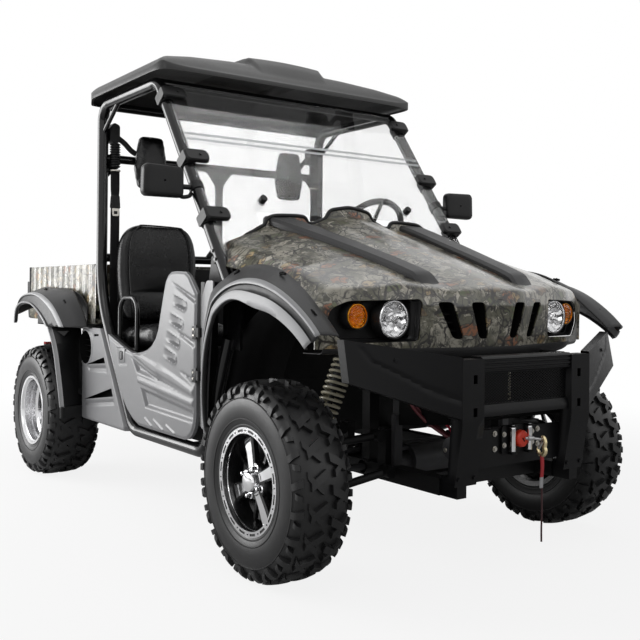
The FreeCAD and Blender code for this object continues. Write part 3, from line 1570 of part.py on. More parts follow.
silencer = Part.makeCylinder(55, 360, vec(rear_end + 275, -180, 560), V(0, 1, 0))
hanger = Part.makeBox(70, 16, BED_REST - 40 - float(gap) - 599.7, vec(rear_end + 210, -8, 599.7))
keep("exhaust", feature("Exhaust", silencer.fuse(hanger)))
lamp_block = Part.makeBox(30, 110, 50, vec(rear_end + 135, 440, 560))
keep("tail_lamps", feature("TailLamps", Part.makeCompound([lamp_block, other_side(lamp_block)])))
radiator_pieces = [box("RadiatorCore", (1150, 1190), (-250, 250), (480, 700))]
for post_y in (-265, 235):
    radiator_pieces.append(box("RadiatorPost%d" % abs(post_y), (1160, 1180), (post_y, post_y + 30),
                               (rail_top, 500)))
keep("radiator", fused("Radiator", radiator_pieces))


# Writing


def finish():
    doc.recompute()
    broken = []
    for thing in doc.Objects:
        for word in ("Invalid", "Error"):
            if word in thing.State:
                broken.append("%s: %s" % (thing.Name, word))
    for label, thing in parts.items():
        if thing.Shape.isNull() or not thing.Shape.isValid():
            broken.append("%s: no valid shape" % label)
    if broken:
        raise RuntimeError("; ".join(broken))
    os.makedirs("parts", exist_ok=True)
    for label, thing in parts.items():
        thing.Shape.exportStep("parts/%s.step" % label)
        print(label, len(thing.Shape.Solids), round(thing.Shape.Volume / 1000))


finish()
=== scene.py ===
"""Two-seat side-by-side utility vehicle: its finishes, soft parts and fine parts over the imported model."""
import json
import math
import bmesh
import bpy
import numpy as np
from mathutils import Matrix, Vector


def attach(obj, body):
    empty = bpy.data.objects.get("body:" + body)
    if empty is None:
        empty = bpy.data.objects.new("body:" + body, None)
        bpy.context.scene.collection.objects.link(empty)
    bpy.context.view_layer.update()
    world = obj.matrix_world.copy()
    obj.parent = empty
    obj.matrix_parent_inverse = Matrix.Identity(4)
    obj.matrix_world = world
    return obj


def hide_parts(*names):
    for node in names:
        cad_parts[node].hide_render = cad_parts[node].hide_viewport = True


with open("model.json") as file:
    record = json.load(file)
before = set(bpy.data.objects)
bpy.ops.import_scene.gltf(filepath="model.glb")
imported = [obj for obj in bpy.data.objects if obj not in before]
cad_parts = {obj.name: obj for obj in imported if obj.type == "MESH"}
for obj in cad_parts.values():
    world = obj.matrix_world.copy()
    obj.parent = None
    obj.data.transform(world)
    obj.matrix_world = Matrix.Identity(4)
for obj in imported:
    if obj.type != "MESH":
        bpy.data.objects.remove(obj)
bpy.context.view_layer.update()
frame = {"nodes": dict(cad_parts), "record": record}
scene = bpy.context.scene
scene.view_settings.view_transform = "Standard"

SIDES = ((1, "left"), (-1, "right"))
FRONT_AXLE, REAR_AXLE, WHEEL_Z = 1.03, -0.92, 0.311
FRONT_TRACK, REAR_TRACK, DISC_FACE = 0.64, 0.651, 0.607
WELD = 1e-5


# Nodes

class Desk:
    """Places nodes in a tree and joins them; a plain value is set on the socket."""

    def __init__(self, tree):
        self.tree = tree

    def add(self, kind, settings=(), **sockets):
        """A node of a kind, with its settings and sockets."""
        node = self.tree.nodes.new("ShaderNode" + kind)
        for label, value in settings:
            setattr(node, label, value)
        for label, value in sockets.items():
            self.put(node, label.replace("_", " "), value)
        return node

    def put(self, node, label, value):
        """Joins or sets one socket, by its name or place."""
        socket = node.inputs[int(label) if label.isdigit() else label]
        if isinstance(value, bpy.types.NodeSocket):
            self.tree.links.new(value, socket)
        else:
            socket.default_value = value

    def fill(self, node, *values):
        """Sets or joins a node's sockets from the first on."""
        for spot, value in enumerate(values):
            self.put(node, str(spot), value)
        return node.outputs[0]

    def maths(self, work, a, b=0.5, c=None):
        """One sum of two or three values."""
        values = (a, b) if c is None else (a, b, c)
        return self.fill(self.add("Math", [("operation", work)]), *values)

    def blend(self, share, a, b):
        """A mix of two colours."""
        node = self.add("Mix", [("data_type", "RGBA"), ("blend_type", "MIX")])
        for spot, value in (("0", share), ("6", a), ("7", b)):
            self.put(node, spot, value)
        return node.outputs[2]

    def step(self, value, low, high):
        """A smooth step from 0 to 1 between two values."""
        node = self.add("MapRange", [("interpolation_type", "SMOOTHSTEP")], Value=value, From_Min=low, From_Max=high)
        return node.outputs["Result"]

    def noise(self, where, scale, detail=3.0, rough=0.55, bend=0.0):
        """Soft noise from 0 to 1."""
        node = self.add("TexNoise", Vector=where, Scale=scale, Detail=detail, Roughness=rough, Distortion=bend)
        return node.outputs["Fac"]


def colour(r, g, b):
    """A colour with full cover."""
    return (r, g, b, 1)


WHITE = colour(1, 1, 1)


# Camera, light and floor

def make_camera():
    """Stands at the front right, where the photograph was taken from."""
    data = bpy.data.cameras.new("camera")
    data.sensor_width = 36
    data.lens = 49.594
    data.shift_x = 0.01075
    data.shift_y = -0.0534
    yaw, pitch, roll = (math.radians(a) for a in (144.6, -0.3266, 0.5))
    ahead = Vector((math.cos(yaw) * math.cos(pitch), math.sin(yaw) * math.cos(pitch), -math.sin(pitch)))
    level = Vector((math.sin(yaw), -math.cos(yaw), 0))
    above = level.cross(ahead)
    right = level * math.cos(roll) + above * math.sin(roll)
    up = above * math.cos(roll) - level * math.sin(roll)
    camera = bpy.data.objects.new("camera", data)
    turn = Matrix((right, up, -ahead)).transposed().to_4x4()
    camera.matrix_world = Matrix.Translation((3.34, -2.13, 0.897)) @ turn
    data.clip_end = 200
    scene.collection.objects.link(camera)
    scene.camera = camera


def area_light(name, place, aim, size, power):
    """A rectangular lamp at a place, turned to its aim."""
    data = bpy.data.lights.new(name, "AREA")
    data.shape = "RECTANGLE"
    data.size, data.size_y = size
    data.energy = power
    lamp = bpy.data.objects.new(name, data)
    lamp.location = place
    lamp.rotation_euler = (Vector(aim) - Vector(place)).to_track_quat("-Z", "Y").to_euler()
    scene.collection.objects.link(lamp)


def make_world():
    """Soft grey light all round, seen as white by the camera, in metal and through glass."""
    world = bpy.data.worlds.new("studio")
    world.use_nodes = True
    scene.world = world
    world.node_tree.nodes.clear()
    desk = Desk(world.node_tree)
    rays = desk.add("LightPath").outputs
    seen = desk.maths("MAXIMUM", rays["Is Camera Ray"], rays["Is Transmission Ray"])
    seen = desk.maths("MAXIMUM", seen, rays["Is Glossy Ray"])
    soft = desk.add("Background", Color=WHITE, Strength=0.25)
    white = desk.add("Background", Color=WHITE, Strength=1)
    mixed = desk.fill(desk.add("MixShader"), seen, soft.outputs[0], white.outputs[0])
    desk.put(desk.add("OutputWorld"), "0", mixed)


def make_floor():
    """Pale floor that keeps the vehicle's shadow and fades to white away from it."""
    mesh = bpy.data.meshes.new("studio_floor")
    mesh.from_pydata([(-60, -60, 0), (60, -60, 0), (60, 60, 0), (-60, 60, 0)], [], [(0, 1, 2, 3)])
    floor = bpy.data.objects.new("studio_floor", mesh)
    scene.collection.objects.link(floor)
    material = bpy.data.materials.new("pale_floor")
    material.use_nodes = True
    material.node_tree.nodes.clear()
    desk = Desk(material.node_tree)
    matt = desk.add("BsdfDiffuse", Color=colour(0.86, 0.86, 0.86))
    glow = desk.add("Emission")
    reach = desk.add("VectorMath", [("operation", "LENGTH")])
    desk.put(reach, "0", desk.add("NewGeometry").outputs["Position"])
    fade = desk.add("MapRange", [("interpolation_type", "SMOOTHSTEP")], Value=reach.outputs["Value"],
                    From_Min=1.6, From_Max=4.5, To_Min=0.86, To_Max=1.0)
    share = desk.maths("MULTIPLY", desk.add("LightPath").outputs["Is Camera Ray"], fade.outputs["Result"])
    mixed = desk.fill(desk.add("MixShader"), share, matt.outputs[0], glow.outputs[0])
    desk.put(desk.add("OutputMaterial"), "0", mixed)
    mesh.materials.append(material)


make_camera()
make_world()
make_floor()
area_light("key", (3.2, -3.6, 4.2), (0.2, 0, 0.7), (3.0, 2.0), 29)
area_light("top", (0.0, 0.4, 4.6), (0, 0, 0.8), (4.5, 3.0), 26)
area_light("side", (-3.3, -3.6, 1.7), (-0.1, -0.3, 0.7), (3.2, 2.6), 185)
area_light("nose", (5.0, 1.5, 1.6), (1.2, 0, 0.7), (2.0, 2.0), 8)


# Finishes

def group_of(name, takes, gives):
    """An empty node group with named sockets; takes and gives list (name, kind, start value)."""
    tree = bpy.data.node_groups.new(name, "ShaderNodeTree")
    for label, kind, value in takes:
        socket = tree.interface.new_socket(name=label, in_out="INPUT", socket_type="NodeSocket" + kind)
        socket.default_value = value
    for label, kind in gives:
        tree.interface.new_socket(name=label, in_out="OUTPUT", socket_type="NodeSocket" + kind)
    return tree


def make_moulded_group():
    """Moulded, painted or cast surface: slow tone changes, dust in the flats and a fine grain."""
    tree = group_of("moulded_surface", [
        ("Colour", "Color", colour(0.1, 0.1, 0.1)), ("Tone", "Float", 0.12), ("Dust", "Float", 0.0),
        ("Roughness", "Float", 0.45), ("Spread", "Float", 0.08), ("Grain", "Float", 900.0),
        ("Depth", "Float", 0.2), ("Stretch", "Vector", (1, 1, 1))],
        [("Colour", "Color"), ("Roughness", "Float"), ("Height", "Float")])
    desk = Desk(tree)
    given = tree.nodes.new("NodeGroupInput").outputs
    here = desk.add("TexCoord").outputs["Object"]
    place = desk.fill(desk.add("VectorMath", [("operation", "MULTIPLY")]), here, given["Stretch"])
    slow = desk.noise(place, 5.0, 4.0)
    mid = desk.noise(place, 42.0, 3.0)
    mixed = desk.maths("ADD", desk.maths("MULTIPLY", slow, 0.6), desk.maths("MULTIPLY", mid, 0.4))
    lift = desk.maths("SUBTRACT", mixed, 0.5)
    gain = desk.maths("MULTIPLY_ADD", lift, desk.maths("MULTIPLY", given["Tone"], 4.0), 1.0)
    toned = desk.add("VectorMath", [("operation", "SCALE")])
    desk.put(toned, "0", given["Colour"])
    desk.put(toned, "Scale", gain)
    facing = desk.add("SeparateXYZ")
    desk.put(facing, "0", desk.add("NewGeometry").outputs["Normal"])
    flat = desk.step(facing.outputs["Z"], 0.2, 1.0)
    settled = desk.maths("MULTIPLY", desk.maths("MULTIPLY", flat, given["Dust"]), desk.step(mixed, 0.35, 0.65))
    dusty = desk.blend(settled, toned.outputs[0], colour(0.36, 0.35, 0.33))
    fine = desk.noise(place, given["Grain"], 2.0, 0.5)
    rough = desk.maths("MULTIPLY_ADD", lift, desk.maths("MULTIPLY", given["Spread"], 4.0), given["Roughness"])
    out = tree.nodes.new("NodeGroupOutput")
    tree.links.new(dusty, out.inputs["Colour"])
    tree.links.new(desk.maths("MINIMUM", desk.maths("MAXIMUM", rough, 0.05), 1.0), out.inputs["Roughness"])
    tree.links.new(desk.maths("MULTIPLY", fine, given["Depth"]), out.inputs["Height"])
    return tree


def make_camouflage_group():
    """Printed camouflage of drifting grey and olive patches, bark streaks, loose leaf shapes and twigs."""
    tree = group_of("camouflage_print", [("Scale", "Float", 1.0)], [("Colour", "Color"), ("Height", "Float")])
    desk = Desk(tree)
    given = tree.nodes.new("NodeGroupInput").outputs
    sized = desk.add("VectorMath", [("operation", "SCALE")])
    desk.put(sized, "0", desk.add("TexCoord").outputs["Object"])
    desk.put(sized, "Scale", given["Scale"])
    place = sized.outputs[0]
    shift = desk.add("TexNoise", Vector=place, Scale=9.0, Detail=4.0)
    warped = desk.fill(desk.add("VectorMath", [("operation", "MULTIPLY_ADD")]), shift.outputs["Color"],
                       (0.09, 0.09, 0.09), place)
    ground = desk.noise(warped, 8.0, 5.0, 0.62, 0.4)
    base = desk.blend(desk.step(ground, 0.44, 0.56), colour(0.43, 0.405, 0.335), colour(0.135, 0.13, 0.088))
    mottle = desk.noise(warped, 34.0, 4.0, 0.7, 0.8)
    base = desk.blend(desk.step(mottle, 0.50, 0.62), base, colour(0.075, 0.074, 0.055))
    pale = desk.step(desk.noise(warped, 19.0, 4.0, 0.65, 1.4), 0.57, 0.62)
    base = desk.blend(pale, base, colour(0.60, 0.56, 0.47))
    streaks = desk.add("Mapping", Vector=warped, Rotation=(0.5, 0.3, 0.4), Scale=(1.0, 1.0, 0.35))
    bark = desk.step(desk.noise(streaks.outputs[0], 26.0, 5.0, 0.7, 1.2), 0.56, 0.60)
    base = desk.blend(bark, base, colour(0.022, 0.018, 0.014))
    for scale, turn, tones in (
            (15.0, (0.4, 0.7, 0.2), (colour(0.36, 0.125, 0.045), colour(0.20, 0.14, 0.07))),
            (21.0, (1.1, 0.2, 1.3), (colour(0.50, 0.37, 0.19), colour(0.13, 0.155, 0.075)))):
        lean = desk.add("Mapping", Vector=warped, Rotation=turn, Scale=(1.0, 0.55, 1.0))
        cells = desk.add("TexVoronoi", Vector=lean.outputs[0], Scale=scale, Randomness=1.0)
        tint = desk.add("SeparateColor")
        desk.put(tint, "0", cells.outputs["Color"])
        ragged = desk.maths("MULTIPLY_ADD", mottle, 0.35, cells.outputs["Distance"])
        blob = desk.maths("SUBTRACT", 1.0, desk.step(ragged, 0.50, 0.56))
        chosen = desk.maths("GREATER_THAN", tint.outputs[0], 0.46)
        leaf = desk.blend(desk.step(tint.outputs[1], 0.45, 0.55), *tones)
        leaf = desk.blend(desk.step(desk.noise(place, 70.0, 3.0), 0.45, 0.62), leaf, colour(0.10, 0.07, 0.045))
        base = desk.blend(desk.maths("MULTIPLY", desk.maths("MULTIPLY", blob, chosen), 0.9), base, leaf)
        beyond = desk.maths("SUBTRACT", 1.0, desk.step(ragged, 0.56, 0.60))
        rim = desk.maths("MULTIPLY", desk.step(ragged, 0.50, 0.54), beyond)
        rim = desk.maths("MULTIPLY", desk.maths("MULTIPLY", rim, chosen), 0.8)
        base = desk.blend(rim, base, colour(0.04, 0.032, 0.026))
    for scale, wide in ((9.0, 0.030), (19.0, 0.032)):
        veins = desk.add("TexVoronoi", [("feature", "DISTANCE_TO_EDGE")], Vector=warped, Scale=scale)
        thin = desk.maths("SUBTRACT", 1.0, desk.step(veins.outputs["Distance"], wide * 0.4, wide * 1.5))
        broken = desk.maths("MULTIPLY", thin, desk.step(desk.noise(place, 12.0, 2.0), 0.40, 0.52))
        base = desk.blend(desk.maths("MULTIPLY", broken, 0.95), base, colour(0.010, 0.008, 0.007))
    out = tree.nodes.new("NodeGroupOutput")
    tree.links.new(base, out.inputs["Colour"])
    tree.links.new(desk.noise(place, 60.0, 3.0), out.inputs["Height"])
    return tree


MOULDED = make_moulded_group()
CAMOUFLAGE = make_camouflage_group()
finishes = {}


def new_material(name):
    """A new finish, with its desk and its shader."""
    material = bpy.data.materials.new(name)
    material.use_nodes = True
    desk = Desk(material.node_tree)
    shader = material.node_tree.nodes["Principled BSDF"]
    finishes[name] = material
    return desk, shader


def bump(desk, shader, height, reach):
    """Fine relief of a given depth."""
    node = desk.add("Bump", Height=height, Distance=reach, Strength=1.0)
    desk.put(shader, "Normal", node.outputs["Normal"])


def moulded(name, rgb, rough, tone=0.12, dust=0.0, spread=0.06, grain=900.0, depth=1.0, metal=0.0,
            coat=0.0, stretch=(1, 1, 1), reach=0.0002, gloss=0.5):
    """A moulded, painted, cast or woven finish."""
    desk, shader = new_material(name)
    node = desk.add("Group", [("node_tree", MOULDED)])
    for label, value in (("Colour", colour(*rgb)), ("Tone", tone), ("Dust", dust), ("Roughness", rough),
                         ("Spread", spread), ("Grain", grain), ("Depth", depth), ("Stretch", stretch)):
        node.inputs[label].default_value = value
    desk.put(shader, "Base Color", node.outputs["Colour"])
    desk.put(shader, "Roughness", node.outputs["Roughness"])
    for label, value in (("Metallic", metal), ("Coat Weight", coat), ("Coat Roughness", 0.15),
                         ("Specular IOR Level", gloss)):
        shader.inputs[label].default_value = value
    bump(desk, shader, node.outputs["Height"], reach)


moulded("satin_tube", (0.007, 0.007, 0.0075), 0.17, tone=0.10, spread=0.02, grain=700, depth=0.15, gloss=0.42)
moulded("chassis_black", (0.006, 0.006, 0.0065), 0.45, tone=0.2, dust=0.02, gloss=0.18)
moulded("bumper_black", (0.004, 0.004, 0.0046), 0.36, tone=0.12, dust=0.0, grain=1100, depth=0.8, gloss=0.17)
moulded("roof_grey", (0.030, 0.030, 0.030), 0.40, tone=0.10, grain=1500, depth=0.7, gloss=0.4)
moulded("flare_charcoal", (0.030, 0.030, 0.031), 0.46, tone=0.10, grain=1500, depth=0.7, gloss=0.35)
# Painted highlight: pale grey bands stand in for the light on the arch mouldings' rounded ridge and lip and on the mud
# panels' front edge.
moulded("flare_painted_highlight", (0.36, 0.362, 0.37), 0.40, tone=0.05, grain=1500, depth=0.6)
moulded("door_grey", (0.22, 0.22, 0.227), 0.34, tone=0.06, grain=1500, depth=0.7)
moulded("black_plastic", (0.009, 0.009, 0.0095), 0.42, tone=0.15, grain=1300, depth=0.7, gloss=0.28)
moulded("tyre_rubber", (0.011, 0.011, 0.0115), 0.40, tone=0.2, dust=0.0, grain=500, depth=0.8, gloss=0.38)
moulded("vinyl", (0.005, 0.005, 0.0055), 0.26, tone=0.15, grain=650, depth=1.2, reach=0.0004, gloss=0.40)
moulded("webbing", (0.012, 0.012, 0.013), 0.75, tone=0.2, grain=1200, depth=1.0, stretch=(3, 1, 1), gloss=0.25)
moulded("plated_steel", (0.50, 0.48, 0.44), 0.32, tone=0.2, metal=1.0, stretch=(1, 1, 0.1))
moulded("machined", (0.72, 0.72, 0.73), 0.22, tone=0.06, metal=1.0, grain=2500, stretch=(1, 0.05, 1))
moulded("rim_black", (0.008, 0.008, 0.0085), 0.22, tone=0.1, coat=0.4)
moulded("cast_grey", (0.055, 0.055, 0.058), 0.48, tone=0.2, metal=0.3, dust=0.06, gloss=0.35)
moulded("bar_grey", (0.42, 0.42, 0.43), 0.34, tone=0.08, metal=0.6)
moulded("spring_cream", (0.62, 0.58, 0.44), 0.36, tone=0.1, coat=0.4)
moulded("zinc", (0.66, 0.56, 0.34), 0.34, tone=0.25, metal=1.0)
moulded("strap_red", (0.42, 0.022, 0.030), 0.70, tone=0.2, grain=900, depth=1.0, stretch=(1, 1, 4))
moulded("strap_grey", (0.42, 0.42, 0.43), 0.70, tone=0.2, grain=900, depth=1.0)
moulded("cable_red", (0.50, 0.015, 0.05), 0.40, tone=0.1)
moulded("cable_dark", (0.10, 0.012, 0.018), 0.45, tone=0.1)
moulded("tail_dark", (0.05, 0.016, 0.018), 0.75, tone=0.3, grain=900, depth=1.0)
moulded("slot_black", (0.004, 0.004, 0.004), 0.7, tone=0.1, gloss=0.1)
moulded("chrome", (0.82, 0.82, 0.83), 0.10, tone=0.03, metal=1.0, grain=300, depth=0.1)
moulded("amber_mirror", (1.0, 0.42, 0.015), 0.14, tone=0.05, metal=0.45, grain=300, depth=0.1)
moulded("lamp_silver", (0.92, 0.92, 0.93), 0.10, tone=0.05, metal=0.75, grain=300, depth=0.1)
moulded("stop_red", (0.66, 0.035, 0.012), 0.34, tone=0.08)


def camouflage():
    """The printed finish of the hood and the bed."""
    desk, shader = new_material("camouflage")
    node = desk.add("Group", [("node_tree", CAMOUFLAGE)])
    desk.put(shader, "Base Color", node.outputs["Colour"])
    for label, value in (("Roughness", 0.28), ("Coat Weight", 0.5), ("Coat Roughness", 0.12)):
        shader.inputs[label].default_value = value
    bump(desk, shader, node.outputs["Height"], 0.0003)


def clear(name, rgb, weight=1.0, rough=0.02, alpha=1.0):
    """A clear or tinted plastic."""
    shader = new_material(name)[1]
    for label, value in (("Base Color", colour(*rgb)), ("Roughness", rough), ("Transmission Weight", weight),
                         ("IOR", 1.45), ("Alpha", alpha)):
        shader.inputs[label].default_value = value


camouflage()
clear("screen_clear", (0.96, 0.97, 0.97), alpha=0.13)
clear("screen_joint", (0.86, 0.88, 0.90), weight=0.4, rough=0.3, alpha=0.62)
clear("lens_clear", (0.97, 0.97, 0.97), alpha=0.12)
clear("lens_amber", (1.0, 0.44, 0.02), 0.60, 0.03, alpha=0.20)
clear("lens_red", (0.55, 0.02, 0.02), 0.6, 0.08)

NODE_FINISH = {
    "tyre": "tyre_rubber", "front_rim": "rim_black", "rear_rim": "machined", "tube": "satin_tube",
    "frame_black": "chassis_black", "spring": "spring_cream", "steel": "cast_grey", "dark_metal": "cast_grey",
    "body_print": "camouflage", "black_plastic": "black_plastic", "charcoal_plastic": "flare_charcoal",
    "grey_plastic": "door_grey", "clear": "screen_clear", "amber": "lens_amber", "red_lens": "lens_red",
    "vinyl": "vinyl", "webbing": "webbing", "gate_plastic": "black_plastic", "winch_metal": "cast_grey",
    "hook_zinc": "zinc", "strap": "strap_red",
}
for entry in frame["record"]["subparts"]:
    node = frame["nodes"][entry["node"]]
    node.data.materials.clear()
    node.data.materials.append(finishes[NODE_FINISH[entry["material_slot"]]])


# The winch strap's tail, which hangs free

def strap_tail():
    """Thin dark tail below the red pull strap."""
    route = [(1.504, 0.060, 0.2847), (1.504, 0.060, 0.262), (1.5046, 0.0607, 0.228), (1.5040, 0.0604, 0.190),
             (1.5034, 0.0597, 0.154), (1.504, 0.060, 0.118)]
    data = bpy.data.curves.new("strap_tail_cord", "CURVE")
    data.dimensions = "3D"
    line = data.splines.new("NURBS")
    line.points.add(len(route) - 1)
    for point, spot in zip(line.points, route):
        point.co = (*spot, 1)
    line.order_u = 3
    line.use_endpoint_u = True
    line.resolution_u = 16
    data.bevel_depth = 0.003
    data.bevel_resolution = 5
    data.use_fill_caps = True
    data.materials.append(finishes["tail_dark"])
    cord = bpy.data.objects.new("strap_tail_cord", data)
    scene.collection.objects.link(cord)
    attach(cord, "chassis")
    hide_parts("strap_tail")


strap_tail()


# Making of forms

ORIGIN, AHEAD, ACROSS, UP = (0, 0, 0), (1, 0, 0), (0, 1, 0), (0, 0, 1)


def turns(count):
    """Angles of one full turn in equal steps."""
    return [2 * math.pi * k / count for k in range(count)]


def once(node, side):
    """What the left piece of a pair stands for, so that a node is replaced once."""
    return [node] if side > 0 else []


def turned_about(axis):
    """Rotation that takes +Z onto the axis."""
    return Vector((0, 0, 1)).rotation_difference(Vector(axis)).to_matrix()


class Form:
    """Points and faces of one piece, gathered from simple shapes; each shape has a finish number."""

    def __init__(self):
        self.points = []
        self.faces = []
        self.numbers = []

    def add(self, points, faces, number=0, mirrored=False):
        """Points with their faces and finish; mirrored puts them on the other side."""
        start = len(self.points)
        for point in points:
            x, y, z = point
            self.points.append((x, -y if mirrored else y, z))
        for face in faces:
            turned = reversed(face) if mirrored else face
            self.faces.append([start + i for i in turned])
            self.numbers.append(number)

    def grid(self, rows, number=0, round_way=False, along_way=False):
        """Quads over rows of points; round_way joins each row's ends, along_way the first and last row."""
        wide = len(rows[0])
        faces = []
        for i in range(len(rows) - (0 if along_way else 1)):
            after = (i + 1) % len(rows)
            for j in range(wide - (0 if round_way else 1)):
                beside = (j + 1) % wide
                faces.append((i * wide + j, i * wide + beside, after * wide + beside, after * wide + j))
        self.add([p for row in rows for p in row], faces, number)

    def turned(self, profile, centre, axis, steps=48, number=0, closed=False, side=1):
        """Turns (along, radius) points about an axis; side -1 turns their mirror image."""
        base = turned_about(axis)
        rows = []
        for swing in turns(steps):
            way = base @ Vector((math.cos(swing), math.sin(swing), 0))
            rows.append([Vector(centre) + Vector(axis).normalized() * (side * along) + way * radius
                         for along, radius in profile])
        self.grid(rows, number, round_way=closed, along_way=True)

    def plate(self, outline, depth, number=0, mirrored=False, crown=None):
        """A flat outline given a depth vector; crown lifts the far face's middle as a shrunken copy."""
        near = [Vector(p) for p in outline]
        far = [p + Vector(depth) for p in near]
        n = len(near)
        points = near + far
        faces = [tuple(reversed(range(n)))]
        faces += [(i, (i + 1) % n, n + (i + 1) % n, n + i) for i in range(n)]
        if crown is None:
            faces.append(tuple(range(n, 2 * n)))
        else:
            shrink, lift = crown
            middle = sum(far, Vector()) / n
            points += [middle + (p - middle) * shrink + Vector(depth).normalized() * lift for p in far]
            faces += [(n + i, n + (i + 1) % n, 2 * n + (i + 1) % n, 2 * n + i) for i in range(n)]
            faces.append(tuple(range(2 * n, 3 * n)))
        self.add(points, faces, number, mirrored)

    def side_plate(self, outline, side, y, depth, number=0, crown=None):
        """A plate of (x, z) points that faces sideways."""
        self.plate([(x, side * y, z) for x, z in outline], (0, side * depth, 0), number, crown=crown)

    def front_plate(self, outline, x, depth, number=0, y=0.0):
        """A plate of (y, z) points that faces forward."""
        self.plate([(x, y + a, z) for a, z in outline], (depth, 0, 0), number)

    def block(self, low, high, number=0, mirrored=False):
        """A box between two corners."""
        x0, y0, z0 = low
        x1, y1, z1 = high
        self.plate([(x0, y0, z0), (x1, y0, z0), (x1, y1, z0), (x0, y1, z0)], (0, 0, z1 - z0), number, mirrored)

    def closed(self, row, number=0, back=False):
        """One face over a row of points."""
        order = range(len(row))
        self.add(row, [tuple(reversed(order) if back else order)], number)

    def rod(self, start, end, radius, number=0, steps=20, tip=None):
        """A round bar with closed ends."""
        tip = radius if tip is None else tip
        start, end = Vector(start), Vector(end)
        base = turned_about(end - start)
        rows = [[spot + base @ Vector((math.cos(a), math.sin(a), 0)) * size for a in turns(steps)]
                for spot, size in ((start, radius), (end, tip))]
        self.grid(rows, number, round_way=True)
        self.closed(rows[0], number, back=True)
        self.closed(rows[1], number)

    def swept(self, route, radius, number=0, steps=14, spans=6):
        """A tube along a smooth line through the points."""
        line = smooth_line(route, spans)
        rows = []
        side = None
        for i, spot in enumerate(line):
            ahead = line[min(i + 1, len(line) - 1)] - line[max(i - 1, 0)]
            ahead.normalize()
            if side is None:
                side = ahead.orthogonal().normalized()
            side = (side - ahead * side.dot(ahead)).normalized()
            other = ahead.cross(side)
            rows.append([spot + (side * math.cos(a) + other * math.sin(a)) * radius for a in turns(steps)])
        self.grid(rows, number, round_way=True)
        self.closed(rows[0], number, back=True)
        self.closed(rows[-1], number)

    def mesh(self, name, finish=(), weld=WELD):
        """The points and faces as a mesh; points nearer than weld are joined."""
        mesh = bpy.data.meshes.new(name)
        mesh.from_pydata([tuple(p) for p in self.points], [], self.faces)
        for label in finish:
            mesh.materials.append(finishes[label])
        mesh.polygons.foreach_set("material_index", self.numbers)
        if weld:
            work = bmesh.new()
            work.from_mesh(mesh)
            bmesh.ops.remove_doubles(work, verts=work.verts, dist=weld)
            bmesh.ops.recalc_face_normals(work, faces=work.faces)
            work.to_mesh(mesh)
            work.free()
        return mesh

    def make(self, name, body, finish, at=ORIGIN, sharp=38, bevel=0.0, wall=0.0, offset=-1.0, instead=(), weld=WELD):
        """The finished piece: welded, given a wall, rounded edges and smooth faces, and set on its body."""
        mesh = self.mesh(name, finish, weld)
        mesh.shade_smooth()
        mesh.set_sharp_from_angle(angle=math.radians(sharp))
        made = bpy.data.objects.new(name, mesh)
        made.location = at
        scene.collection.objects.link(made)
        if wall:
            shell = made.modifiers.new("wall", "SOLIDIFY")
            shell.thickness = wall
            shell.offset = offset
        if bevel:
            edge = made.modifiers.new("edge", "BEVEL")
            edge.width = bevel
            edge.segments = 2
            edge.limit_method = "ANGLE"
            edge.angle_limit = math.radians(32)
            edge.harden_normals = True
        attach(made, body)
        if instead:
            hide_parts(*instead)
        return made


def smooth_line(route, spans):
    """Points on a Catmull-Rom line through the route."""
    route = [Vector(p) for p in route]
    if len(route) == 2:
        return [route[0].lerp(route[1], k / spans) for k in range(spans + 1)]
    ends = [2 * route[0] - route[1]] + route + [2 * route[-1] - route[-2]]
    line = []
    for i in range(1, len(ends) - 2):
        a, b, c, d = ends[i - 1:i + 3]
        for k in range(spans):
            t = k / spans
            line.append(0.5 * (2 * b + (c - a) * t + (2 * a - 5 * b + 4 * c - d) * t * t
                               + (3 * b - 3 * c + d - a) * t ** 3))
    line.append(route[-1])
    return line


def smooth_rows(rows, spans):
    """Rows of any length, each of their numbers on a smooth line through the given ones."""
    wide = len(rows[0])
    parts = [smooth_line([(*row[k:k + 3], 0, 0)[:3] for row in rows], spans) for k in range(0, wide, 3)]
    return [[value for spot in spots for value in spot][:wide] for spots in zip(*parts)]


def rounded(outline, radius, steps=5):
    """An outline with its corners rounded."""
    points = []
    count = len(outline)
    for i in range(count):
        spot = Vector(outline[i])
        before = Vector(outline[i - 1]) - spot
        after = Vector(outline[(i + 1) % count]) - spot
        reach = min(radius, before.length * 0.45, after.length * 0.45)
        a = spot + before.normalized() * reach
        b = spot + after.normalized() * reach
        for k in range(steps + 1):
            t = k / steps
            points.append(tuple(a * (1 - t) ** 2 + spot * (2 * t * (1 - t)) + b * t ** 2))
    return points


def bolt(form, spot, axis, radius, number=0, height=None):
    """A hexagon head with a washer under it."""
    spot, axis = Vector(spot), Vector(axis).normalized()
    height = height or radius * 0.75
    form.rod(spot, spot + axis * height * 0.2, radius * 1.35, number, 20)
    form.rod(spot + axis * height * 0.2, spot + axis * height, radius, number, 6, radius * 0.94)


# Wheels

def tyre_line(half):
    """Half section of the tyre from crown to bead, as (out, radius)."""
    return [(0.0, 0.2985), (0.30 * half, 0.2975), (0.55 * half, 0.2950), (0.72 * half, 0.2895),
            (0.84 * half, 0.2800), (0.92 * half, 0.2670), (0.975 * half, 0.2480), (1.0 * half, 0.2240),
            (0.985 * half, 0.2020), (0.945 * half, 0.1850), (0.91 * half, 0.1760), (0.915 * half, 0.1730),
            (0.90 * half, 0.1680), (0.83 * half, 0.1600), (0.76 * half, 0.1530)]


def along_tyre(line, share):
    """Spot and outward normal at a share of the way from crown to bead."""
    spot = share * (len(line) - 1)
    i = min(int(spot), len(line) - 2)
    part = spot - i
    (y0, r0), (y1, r1) = line[i], line[i + 1]
    length = math.hypot(y1 - y0, r1 - r0)
    return (y0 + (y1 - y0) * part, r0 + (r1 - r0) * part), ((r0 - r1) / length, (y1 - y0) / length)


